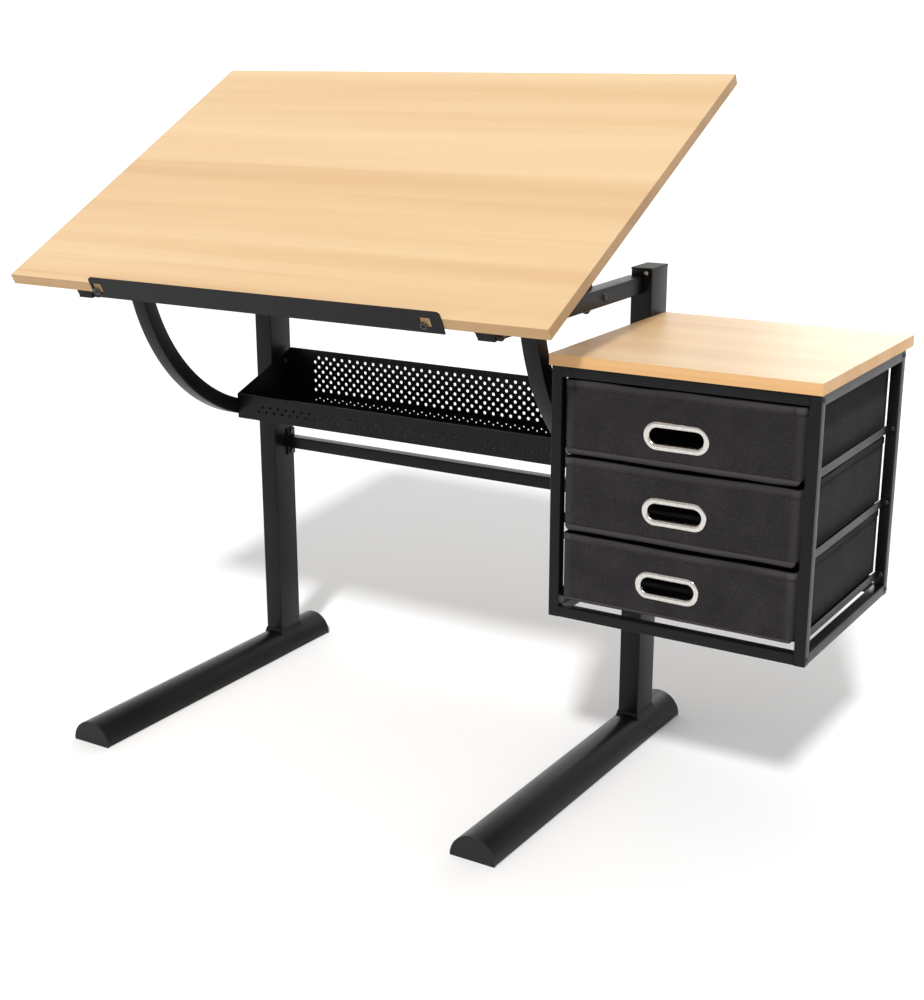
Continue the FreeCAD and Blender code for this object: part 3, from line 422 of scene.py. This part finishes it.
def screw(points, axis):
    """A domed head with a socket, and its shank, round the axis of a CAD
    screw. Radius against height is one profile turned about the axis; the
    socket's wall follows a hexagon, r = flat / cos(angle from its flat)."""
    axis = np.array(axis, float)
    height = points @ axis
    centre = points.mean(0)
    middle = (points.max(0) + points.min(0)) / 2
    base = middle if abs(axis).max() > 0.999 else centre
    spread = points - base
    radial = np.linalg.norm(spread - np.outer(spread @ axis, axis), axis=1)
    head_end = height[radial > radial.max() * 0.97]
    if abs(head_end.mean() - height.min()) < abs(head_end.mean() - height.max()):
        axis, height, head_end = -axis, -height, -head_end
    radius, top, under, tip = radial.max(), height.max(), head_end.min(), height.min()
    shank = radial[height < under - 1e-4].max()
    flat = radius * SOCKET_WIDE
    tall = top - under
    floor_at = top - tall * SOCKET_DEEP
    profile = [(0.0, floor_at), (flat, floor_at), (flat, top - 0.04 * tall),
               (flat * 1.12, top), (radius * 0.72, top - tall * 0.10),
               (radius * 0.93, top - tall * 0.35), (radius, top - tall * 0.72),
               (radius, under), (shank, under), (shank, tip), (0.0, tip)]
    angle = np.linspace(0, 2 * math.pi, 24, endpoint=False)
    fold = (angle + math.pi / 6) % (math.pi / 3) - math.pi / 6
    hexagon = 1 / np.cos(fold)
    rings = []
    side = np.cross(axis, AXES[np.argmin(abs(axis))])
    side /= np.linalg.norm(side)
    lift = np.cross(axis, side)
    for number, (reach, place) in enumerate(profile):
        reach = reach * (hexagon if number in (1, 2) else 1.0) * np.ones_like(angle)
        offset = place - base @ axis
        rings.append(base + axis * offset + reach[:, None]
                     * (np.cos(angle)[:, None] * side + np.sin(angle)[:, None] * lift))
    return np.concatenate(rings), grid_faces(len(profile), 24, close_columns=True)[:, ::-1]


def close_poles(piece):
    """Merges the points that a profile brings together on its axis."""
    work = bmesh.new()
    work.from_mesh(piece.data)
    bmesh.ops.remove_doubles(work, verts=work.verts, dist=1e-6)
    work.to_mesh(piece.data)
    work.free()


def screw_set(name, cad_name, axis, body, slot, finish_made):
    """All of a CAD piece's screws as one piece."""
    points, faces, count = [], [], 0
    for solid in solids(cad_name):
        more, quads = screw(solid, axis)
        points.append(more)
        faces.append(quads + count)
        count += len(more)
    made = mesh_object(name, np.concatenate(points), np.concatenate(faces))
    made.data.set_sharp_from_angle(angle=math.radians(40))
    close_poles(made)
    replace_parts(finish(made, body, slot, finish_made), cad_name)


tilt = next(mount["axis"] for mount in frame["record"]["mounts"]
            if mount["name"] == "drawing_surface")
BOARD_UP = np.array(tilt) / np.linalg.norm(tilt)
BOARD_BACK = np.array([0, BOARD_UP[2], -BOARD_UP[1]])

screw_set("frame_tray_screws", "tray_screws", (1, 0, 0), "root", "black_hardware", black_oxide)
screw_set("corner_screws", "cabinet_corner_screws", (1, 0, 0), "root", "black_hardware",
          black_oxide)
screw_set("slide_screws", "runner_screws", (0, 1, 0), "root", "black_hardware", black_oxide)
screw_set("under_top_screws", "cabinet_top_screws", (0, 0, 1), "root", "black_hardware",
          black_oxide)
screw_set("under_board_screws", "board_screws", BOARD_UP, "board", "black_hardware", black_oxide)
screw_set("ledge_fixing_screws", "ledge_screws", BOARD_BACK, "board", "black_hardware",
          black_oxide)
screw_set("plug_screws", "post_plug_screws", (0, 1, 0), "root", "zinc_hardware", bright_zinc)
dress(black_oxide, "crossbar_bolts", "tray_spacers", "hinge_bolts", "clamp_bolts",
      "cabinet_mount_bolts")


# ---------------------------------------------------------------- wood effect
# Chipboard faced with printed maple-effect melamine paper: pale, satin, with
# long soft bands and fine streaks along the board. The edges are taped in a
# darker print, a little lighter on the cabinet than on the board.

def wood_effect(name, pale, middle, deep, gloss):
    """Bands about 55 mm wide, streaks about 4 mm wide, a few narrow dark lines
    and short flecks, all stretched along X, the way the printed grain runs."""
    made, tree, shader = material(name)
    spot = node(tree, "TexCoord").outputs["Object"]

    def stretched(width, long, detail, twist=0.0):
        scaled = node(tree, "Mapping", {"Vector": spot},
                      _Scale=(1 / (long * MM), 1 / (width * MM), 1 / (width * MM)))
        return node(tree, "TexNoise", {"Vector": scaled.outputs[0]}, _Scale=1.0,
                    _Detail=detail, _Distortion=twist).outputs["Fac"]

    bands = stretched(55, 1900, 2.5, 0.12)
    broad = stretched(240, 3200, 1.0)
    streaks = stretched(3.6, 420, 4.0)
    flecks = stretched(1.1, 16, 2.0)
    both = node(tree, "Mix", {"A": bands, "B": broad}, data_type="FLOAT", _Factor=0.34)
    tone = node(tree, "Mix", {"A": both.outputs[0], "B": streaks}, data_type="FLOAT",
                _Factor=0.14)
    lines = node(tree, "MapRange", {"Value": stretched(12, 1500, 1.0)}, _From_Min=0.66,
                 _From_Max=0.74, _To_Min=0.0, _To_Max=0.09)
    darker = node(tree, "Math", {0: tone.outputs[0], 1: lines.outputs["Result"]}, operation="ADD")
    colour = ramp(tree, darker.outputs[0], [(0.25, pale), (0.52, middle), (0.78, deep)])
    fleck = node(tree, "MapRange", {"Value": flecks}, _From_Min=0.62, _From_Max=0.75,
                 _To_Min=0.0, _To_Max=0.16)
    mixed = node(tree, "Mix", {"Factor": fleck.outputs["Result"], "A": colour},
                 data_type="RGBA")
    mixed.inputs["B"].default_value = linear(deep)
    tree.links.new(mixed.outputs["Result"], shader.inputs["Base Color"])
    rough = node(tree, "MapRange", {"Value": streaks}, _To_Min=gloss, _To_Max=gloss + 0.12)
    tree.links.new(rough.outputs["Result"], shader.inputs["Roughness"])
    bump = node(tree, "Bump", {"Height": streaks}, _Strength=0.12, _Distance=0.15 * MM)
    tree.links.new(bump.outputs["Normal"], shader.inputs["Normal"])
    shader.inputs["IOR"].default_value = 1.5
    return made


maple = wood_effect("maple_effect_melamine", "#E8CDA2", "#DDBB8D", "#CDA374", 0.34)
board_banding = wood_effect("maple_effect_edging", "#BD9C75", "#B08C61", "#9E784E", 0.4)
top_banding = wood_effect("maple_effect_edging_light", "#DAB27E", "#CFA069", "#BE8C56", 0.4)
dress(maple, "drawing_board", "cabinet_top")
dress(board_banding, "board_edging")
dress(top_banding, "cabinet_top_edging")


# ---------------------------------------------------------------- paper ledge
# A strip of powder-coated steel with rounded top corners, hung on two screws
# in slots so that it can be pushed down out of the way.

dress(black_coat, "paper_ledge")


# ---------------------------------------------------------------- tilt knobs
# Five-lobed knobs, moulded like the plugs, that clamp the curved stays to the
# arms on a bolt through each.

joints = {joint["name"]: joint for joint in frame["joints"]}
KNOB_AXIS = np.array(joints["clamp_knob_left_turn"]["pos_m"][1:])
LOBES = 5
def knob(name, cad_name, sign):
    """Radius against depth is turned about X, and away from the hub each
    radius swells and pinches once a lobe: r + dent * cos(LOBES * angle). Each
    row of the profile is radius, depth and dent, in mm."""
    low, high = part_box(cad_name)
    middle = (np.array(low) + high) / 2
    middle[1:] = KNOB_AXIS
    face = high[0] if sign > 0 else low[0]
    profile = np.array([(3.3, 0, 0), (9.4, 0, 0), (10, 0.6, 0), (10, 7, 0), (15.5, 8.2, 1.6),
                        (17.0, 9.4, 1.9), (17.2, 14, 2.0), (16.4, 18, 1.9), (14, 19.6, 1.4),
                        (9.5, 20, 0.4), (3.3, 20, 0)])
    angle = np.linspace(0, 2 * math.pi, 60, endpoint=False)
    reach = (profile[:, :1] + profile[:, 2:] * np.cos(LOBES * angle)) * MM
    depth = face - sign * profile[:, 1:2] * MM * np.ones_like(angle)
    points = np.stack([depth, middle[1] - reach * np.sin(angle),
                       middle[2] + reach * np.cos(angle)], -1)
    faces = grid_faces(len(profile), 60, close_rows=True, close_columns=True)
    made = mesh_object(name, points.reshape(-1, 3), faces if sign < 0 else faces[:, ::-1])
    made.data.set_sharp_from_angle(angle=math.radians(50))
    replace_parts(finish(made, cad_name, "black_plastic", moulded), cad_name)


knob("star_knob_left", "clamp_knob_left", -1)
knob("star_knob_right", "clamp_knob_right", 1)


# ---------------------------------------------------------------- cabinet frame
# Thin 15 mm square tube screwed together at the corners, with pressed angle
# runners, in the legs' powder coat.

CABINET_TUBE = 15 * MM
CABINET_WALL = 1.2  # mm, with the corner radius
CABINET_ROUND = 1.4

for end in ("front", "rear"):
    for side_name in ("left", "right"):
        cad_name = f"cabinet_upright_{end}_{side_name}"
        low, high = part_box(cad_name)
        tube = straight_tube(f"cabinet_corner_{end}_{side_name}", low, high, 2, CABINET_WALL,
                             CABINET_ROUND)
        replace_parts(finish(tube, "root", "black_steel", black_coat), cad_name)

for side_name, along in (("front", 0), ("rear", 0), ("left", 1), ("right", 1)):
    cad_name = f"cabinet_{side_name}_rails"
    low, high = (np.array(corner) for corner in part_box(cad_name))
    for number, (bottom, top) in enumerate(((low[2], low[2] + CABINET_TUBE),
                                            (high[2] - CABINET_TUBE, high[2]))):
        tube = straight_tube(f"cabinet_{side_name}_rail_{'lower' if number == 0 else 'upper'}",
                             (low[0], low[1], bottom), (high[0], high[1], top), along,
                             CABINET_WALL, CABINET_ROUND)
        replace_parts(finish(tube, "root", "black_steel", black_coat), cad_name)

dress(black_coat, "drawer_runners_left", "drawer_runners_right")


# ---------------------------------------------------------------- drawers
# Cloth boxes: black spunbonded polypropylene sewn over board stiffeners, with
# a folded and stitched hem round the top and a seam down each corner.

cloth, tree, shader = material("spunbond_polypropylene")
spot = node(tree, "TexCoord").outputs["Object"]
dots = node(tree, "TexVoronoi", {"Vector": spot}, _Scale=1 / (1.5 * MM))
threads = node(tree, "TexNoise", {"Vector": spot}, _Scale=1 / (1.6 * MM), _Detail=6.0,
               _Roughness=0.7, _Distortion=0.3)
patches = node(tree, "TexNoise", {"Vector": spot}, _Scale=1 / (45 * MM), _Detail=4.0)
tone = node(tree, "Mix", {"A": threads.outputs["Fac"], "B": patches.outputs["Fac"]},
            data_type="FLOAT", _Factor=0.22)
woven = ramp(tree, tone.outputs[0], [(0.34, "#1E1C1D"), (0.5, "#2A2829"), (0.66, "#383536")])
# Mixes towards a paler cloth by a point attribute: a painted highlight on the hem, the corner folds and the welt's
# upper side, where they would catch light.
rubbed = node(tree, "Attribute", attribute_name="rubbed").outputs["Fac"]
paler = node(tree, "Mix", {"Factor": rubbed, "A": woven}, data_type="RGBA")
paler.inputs["B"].default_value = linear("#474345")
tree.links.new(paler.outputs["Result"], shader.inputs["Base Color"])
fuzz = node(tree, "Mix", {"A": threads.outputs["Fac"], "B": dots.outputs["Distance"]},
            data_type="FLOAT", _Factor=0.4)
bump = node(tree, "Bump", {"Height": fuzz.outputs[0]}, _Strength=0.5, _Distance=0.45 * MM)
tree.links.new(bump.outputs["Normal"], shader.inputs["Normal"])
shader.inputs["Roughness"].default_value = 0.82
shader.inputs["Sheen Weight"].default_value = 0.03
shader.inputs["Specular IOR Level"].default_value = 0.02
shader.inputs["Sheen Roughness"].default_value = 0.5

nickel, tree, shader = material("polished_nickel_plate")
spot = node(tree, "TexCoord").outputs["Object"]
polish = node(tree, "TexNoise", {"Vector": spot}, _Scale=1 / (2.5 * MM), _Detail=5.0)
tree.links.new(ramp(tree, polish.outputs["Fac"], [(0.3, "#C9C5BF"), (0.7, "#E4E1DC")]),
               shader.inputs["Base Color"])
rough = node(tree, "MapRange", {"Value": polish.outputs["Fac"]}, _To_Min=0.1, _To_Max=0.24)
tree.links.new(rough.outputs["Result"], shader.inputs["Roughness"])
shader.inputs["Metallic"].default_value = 1.0

CLOTH = 2.2 * MM  # cloth and stiffener together
HEM = 9.5 * MM  # the stitches' depth below the top edge
SEAM = 9.0 * MM  # the stitches' distance from a corner
CORNER = 5.0 * MM
STEP = 2.0 * MM  # between the points of the skin


def plan(wide, deep, steps):
    """Places and outward directions at even steps round a rounded rectangle,
    from the front left corner to the right and on round, with each side's
    own distance along it."""
    straight = np.array([wide, deep, wide, deep]) - 2 * CORNER
    arc = CORNER * math.pi / 2
    whole = straight.sum() + 4 * arc
    at = np.arange(steps) * whole / steps
    place, normal = np.zeros((steps, 2)), np.zeros((steps, 2))
    corner = np.array([-wide / 2 + CORNER, -deep / 2 + CORNER])
    run = 0.0
    side_of = np.zeros(steps, int)
    reach = np.zeros(steps)
    for number in range(4):
        turn = number * math.pi / 2
        ahead = np.array([math.cos(turn), math.sin(turn)])
        out = np.array([ahead[1], -ahead[0]])
        on = (at >= run) & (at < run + straight[number])
        place[on] = corner + out * CORNER + np.outer(at[on] - run, ahead)
        normal[on] = out
        side_of[on], reach[on] = number, (at[on] - run) / straight[number]
        run += straight[number]
        corner = corner + ahead * straight[number]
        on = (at >= run) & (at < run + arc)
        swing = turn - math.pi / 2 + (at[on] - run) / CORNER
        normal[on] = np.stack([np.cos(swing), np.sin(swing)], -1)
        place[on] = corner + normal[on] * CORNER
        side_of[on], reach[on] = number, 1.0
        run += arc
    return place, normal, side_of, reach, at


def soft_noise(u, v, seed, count, low, high):
    """A sum of random plane waves of wavelengths low to high, about 1 high."""
    chance = np.random.default_rng(seed)
    total = np.zeros(np.broadcast(u, v).shape)
    for _ in range(count):
        wave = 2 * math.pi / chance.uniform(low, high)
        way, phase = chance.uniform(0, math.pi), chance.uniform(0, 2 * math.pi)
        total += np.sin(wave * (u * math.cos(way) + v * math.sin(way)) + phase)
    return total / math.sqrt(count)


def crease(u, v, start, end, height, width):
    """A ridge along a line, fading at its ends: a Gaussian of the distance
    across times a half sine of the distance along."""
    start, end = np.array(start), np.array(end)
    length = np.linalg.norm(end - start)
    way = (end - start) / length
    along = ((u - start[0]) * way[0] + (v - start[1]) * way[1]) / length
    off = (u - start[0]) * way[1] - (v - start[1]) * way[0]
    fade = np.sin(np.clip(along, 0, 1) * math.pi)
    return height * fade * np.exp(-(off / width) ** 2)


def cloth_drawer(number, creases):
    """The box's outer skin: rows climb from the middle of the floor to the
    wall, up it, over the hem and a little way down inside. Along each row the
    points go round the plan. Walls bulge 1.3 mm by a half sine of height, lie
    in soft waves and ripples that are calmer on the sides, and are drawn in
    along the hem's stitches and the seams. A painted highlight is stored as a
    point attribute: 1 where the cloth turns over, on the hem and along the
    corners, so that these folds come out paler as if catching the light."""
    low, high = (np.array(corner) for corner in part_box(f"drawer_{number}_box"))
    wide, deep, tall = high - low
    middle = (low + high) / 2
    steps = int(2 * (wide + deep) / STEP)
    place, normal, side_of, reach, at = plan(wide, deep, steps)
    inner_rings = np.array([0.0, 0.25, 0.5, 0.75, 0.9, 0.97])
    climb = np.linspace(0, 1, int(tall / STEP) + 1)
    fold = np.array([0.35, 0.7, 1.0])
    around = at[None, :]

    height = climb[:, None] * tall
    window = np.minimum(1, np.minimum(reach, 1 - reach) * 12)[None, :] ** 0.7
    bulge = np.sin(math.pi * climb[:, None]) * window
    waves = soft_noise(around, height, 40 + number, 7, 55 * MM, 190 * MM)
    ripples = soft_noise(around, height, 60 + number, 9, 16 * MM, 45 * MM)
    calm = np.where(side_of % 2 == 0, 1.0, 0.4)
    push = (1.3 + 0.55 * calm * waves + 0.18 * calm * ripples) * bulge * MM
    for side, start, end, rise, width in creases:
        length = (wide, deep)[side % 2]
        on = (side_of == side)[None, :]
        push = push + on * crease(reach[None, :] * length, height, start, end, rise, width)
    hem = np.clip((height - (tall - HEM)) / (1.2 * MM), 0, 1)
    push = push * (1 - hem) + hem * (1.0 * MM + 0.12 * MM * ripples)
    stitch_line = np.exp(-((height - (tall - HEM)) / (0.9 * MM)) ** 2)
    seam_gap = np.minimum(reach, 1 - reach)[None, :] * np.where(side_of % 2 == 0, wide, deep)
    seam = np.exp(-((seam_gap - SEAM) / (1.0 * MM)) ** 2)
    edge_fold = np.clip(1 - seam_gap / SEAM, 0, 1) * 0.6 * MM
    push = push - 0.9 * MM * stitch_line - 0.8 * MM * seam * (1 - hem) + edge_fold
    # Painted highlight: paler on the hem's top and along the corner folds, where they would catch light. It is
    # held off the stitch line and seams and varies with the waves.
    rubbed = (np.maximum(0.55 * (height > tall - HEM / 2), 0.3 * hem)
              + 0.35 * np.clip(1 - seam_gap / SEAM, 0, 1)
              - stitch_line - 0.5 * seam) * (0.8 + 0.25 * waves)
    foot_round = np.clip(height / (3 * MM), 0, 1)
    push = push - 2.2 * MM * (1 - np.sqrt(1 - (1 - foot_round) ** 2))
    dip = soft_noise(around, 0 * around, 80 + number, 5, 90 * MM, 260 * MM) * 0.7 * MM
    wall = np.empty((len(climb), steps, 3))
    wall[..., :2] = middle[:2] + place[None] + normal[None] * push[..., None]
    wall[..., 2] = low[2] + height + (dip - 1.1 * MM) * climb[:, None] ** 3

    bottom = np.empty((len(inner_rings), steps, 3))
    bottom[..., :2] = middle[:2] + (wall[0, :, :2] - middle[:2])[None] * inner_rings[:, None, None]
    bottom[..., 2] = low[2] + 0.15 * MM
    turned = np.empty((len(fold), steps, 3))
    roll = 1.3 * MM
    angle = fold[:, None] * math.pi / 2
    turned[..., :2] = wall[-1, :, :2] - normal[None] * (roll * (1 - np.cos(angle)))[..., None]
    turned[..., 2] = wall[-1, :, 2] + roll * np.sin(angle)
    grid = np.concatenate([bottom, wall, turned])

    faces = grid_faces(len(grid), steps, close_columns=True)
    ring_low, ring_high = (np.array(corner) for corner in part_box(f"drawer_{number}_grommet"))
    ring = (ring_low + ring_high) / 2
    half_long = (ring_high[0] - ring_low[0]) / 2 - 4 * MM
    half_tall = (ring_high[2] - ring_low[2]) / 2 - 4 * MM
    flat_grid = grid.reshape(-1, 3)
    centres = flat_grid[faces].mean(1)
    beside = np.maximum(abs(centres[:, 0] - ring[0]) - (half_long - half_tall), 0)
    inside = np.hypot(beside, centres[:, 2] - ring[2]) < half_tall
    on_front = centres[:, 1] < low[1] + 8 * MM
    on_wall = np.repeat(np.arange(len(grid) - 1), steps) >= len(inner_rings)
    faces = faces[~(inside & on_front & on_wall)]
    made = mesh_object(f"cloth_drawer_{number}", flat_grid, faces)
    share = made.data.attributes.new("rubbed", "FLOAT", "POINT")
    shares = np.zeros(grid.shape[:2])
    shares[len(inner_rings):len(inner_rings) + len(climb)] = np.clip(rubbed, 0, 1)
    share.data.foreach_set("value", shares.reshape(-1))
    close_poles(made)
    thick = made.modifiers.new("stiffened wall", "SOLIDIFY")
    thick.thickness, thick.offset = CLOTH, -1
    thick.use_even_offset = False
    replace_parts(finish(made, f"drawer_{number}", "black_fabric", cloth), f"drawer_{number}_box")
    return grid[len(inner_rings):len(inner_rings) + len(climb)], normal


def stitches(name, line, outward, body):
    """Short thread stitches along a closed line of points: a six-sided
    spindle 3 mm long every 4.2 mm, lying half in the cloth."""
    gaps = np.linalg.norm(np.roll(line, -1, 0) - line, axis=1)
    run = np.concatenate([[0], np.cumsum(gaps)])
    closed = np.concatenate([line, line[:1]])
    out = np.concatenate([outward, outward[:1]])
    starts = np.arange(0, run[-1] - 3 * MM, 4.2 * MM)
    along = np.linspace(0, 1, 5)
    where = starts[:, None] + along[None] * 3 * MM
    path = np.stack([np.interp(where, run, closed[:, k]) for k in range(3)], -1)
    away = np.stack([np.interp(where, run, out[:, k]) for k in range(2)] + [0 * where], -1)
    thick = np.sqrt(np.clip(1 - (2 * along - 1) ** 4, 0, 1)) * 0.32 * MM
    angle = np.linspace(0, 2 * math.pi, 6, endpoint=False)
    ring = (np.cos(angle)[:, None] * away[:, :, None, :]
            + np.sin(angle)[:, None] * np.array([0, 0, 1.0]))
    points = path[:, :, None, :] + away[:, :, None, :] * 0.15 * MM \
        + ring * thick[None, :, None, None]
    one = grid_faces(5, 6, close_columns=True)
    faces = (one[None] + np.arange(len(starts))[:, None, None] * 30).reshape(-1, 4)
    made = mesh_object(name, points.reshape(-1, 3), faces[:, ::-1])
    close_poles(made)
    return finish(made, body, "black_fabric", cloth)


def oval_ring(number):
    """A pressed ring: a half-round bead on the front, a barrel through the
    cloth and a rolled lip behind. Each row of the section is a distance from
    the oval's middle line and a depth, carried round two straights and two
    half circles."""
    low, high = (np.array(corner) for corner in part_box(f"drawer_{number}_grommet"))
    middle = (low + high) / 2
    half_tall = (high[2] - low[2]) / 2
    flat = (high[0] - low[0]) / 2 - half_tall
    rim = 8.5 * MM
    proud = 2.5 * MM
    turn = np.linspace(-math.pi / 2, math.pi / 2, 25)
    right_end = np.stack([flat + 0 * turn, 0 * turn, np.cos(turn), np.sin(turn)], -1)
    left_end = right_end * [-1, 1, -1, -1]
    ends = np.concatenate([right_end, left_end])
    bead = np.linspace(0, math.pi, 13)
    section = np.concatenate([
        np.stack([half_tall - rim / 2 + rim / 2 * np.cos(bead), -proud * np.sin(bead) ** 0.75], -1),
        np.array([[half_tall - rim + 0.1 * MM, 2.9 * MM], [half_tall - rim + 1.2 * MM, 3.4 * MM],
                  [half_tall - 3.2 * MM, 3.4 * MM], [half_tall - 2.6 * MM, 2.9 * MM],
                  [half_tall - 4.5 * MM, 2.6 * MM], [half_tall - 5.5 * MM, 0.6 * MM],
                  [half_tall - 0.6 * MM, 0.35 * MM]])])
    front = low[1] + proud
    points = np.empty((len(section), len(ends), 3))
    points[..., 0] = middle[0] + ends[None, :, 0] + section[:, :1] * ends[None, :, 2]
    points[..., 1] = front + section[:, 1:]
    points[..., 2] = middle[2] + section[:, :1] * ends[None, :, 3]
    faces = grid_faces(len(section), len(ends), close_rows=True, close_columns=True)
    made = mesh_object(f"oval_ring_{number}", points.reshape(-1, 3), faces)
    made.data.set_sharp_from_angle(angle=math.radians(60))
    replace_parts(finish(made, f"drawer_{number}", "nickel_ring", nickel),
                f"drawer_{number}_grommet")


def front_welt(number, rise, hang):
    """The bottom seam of a drawer's front, turned out as a flat roll that
    hangs in front of the runners: an ellipse carried along X, from a rise
    above the floor to a hang below it, small at its two ends."""
    low, high = (np.array(corner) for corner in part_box(f"drawer_{number}_box"))
    share = np.linspace(0, 1, 120)
    x = low[0] + 1.5 * MM + share * (high[0] - low[0] - 3 * MM)
    taper = np.minimum(1, 0.35 + 60 * np.minimum(share, 1 - share))
    sag = 1 + 0.07 * soft_noise(x, 0 * x, 20 + number, 5, 30 * MM, 120 * MM)
    wave = 0.5 * MM * soft_noise(x, 0 * x, 30 + number, 5, 50 * MM, 150 * MM)
    angle = np.linspace(0, 2 * math.pi, 16, endpoint=False)
    half = (rise + hang * taper * sag) / 2
    points = np.empty((len(x), len(angle), 3))
    points[..., 0] = x[:, None]
    points[..., 1] = (low[1] + 1.4 * MM - wave)[:, None] - 2.6 * MM * np.outer(taper, np.sin(angle))
    points[..., 2] = low[2] + rise - half[:, None] + np.outer(half, np.cos(angle))
    ends = np.zeros((2, len(angle), 3)) + points[[0, -1]].mean(1, keepdims=True)
    points = np.concatenate([ends[:1], points, ends[1:]])
    made = mesh_object(f"front_welt_{number}", points.reshape(-1, 3),
                       grid_faces(len(points), len(angle), close_columns=True))
    # Painted highlight: the upper front side of the roll, facing the key light, is paler.
    share = made.data.attributes.new("rubbed", "FLOAT", "POINT")
    share.data.foreach_set("value", np.tile(np.clip(0.7 * np.cos(angle - 0.9), 0, 1), len(points)))
    close_poles(made)
    finish(made, f"drawer_{number}", "black_fabric", cloth)


# Of each drawer: the wall (0 is the front), the crease's two ends in metres
# along the wall and up it, its height and its width
CREASES = {
    1: [(0, (0.02, 0.070), (0.30, 0.083), 0.7 * MM, 6 * MM),
        (0, (0.06, 0.012), (0.20, 0.022), 0.6 * MM, 7 * MM)],
    2: [(0, (0.20, 0.015), (0.31, 0.040), 0.7 * MM, 8 * MM),
        (0, (0.01, 0.060), (0.09, 0.030), 0.6 * MM, 6 * MM)],
    3: [(0, (0.005, 0.072), (0.075, 0.018), 1.4 * MM, 6 * MM),
        (0, (0.22, 0.012), (0.31, 0.030), 0.8 * MM, 7 * MM)],
}
# Of each drawer: how far its welt rises above the floor and hangs below it
WELTS = {1: (1.5 * MM, 6.5 * MM), 2: (1.5 * MM, 6.5 * MM), 3: (3.5 * MM, 1.0 * MM)}
for number, creases in CREASES.items():
    wall, normal = cloth_drawer(number, creases)
    row = len(wall) - 1 - round(HEM / STEP)
    stitches(f"hem_stitches_{number}", wall[row], normal, f"drawer_{number}")
    oval_ring(number)
    front_welt(number, *WELTS[number])
dress(cloth, "drawer_1_base", "drawer_2_base", "drawer_3_base")
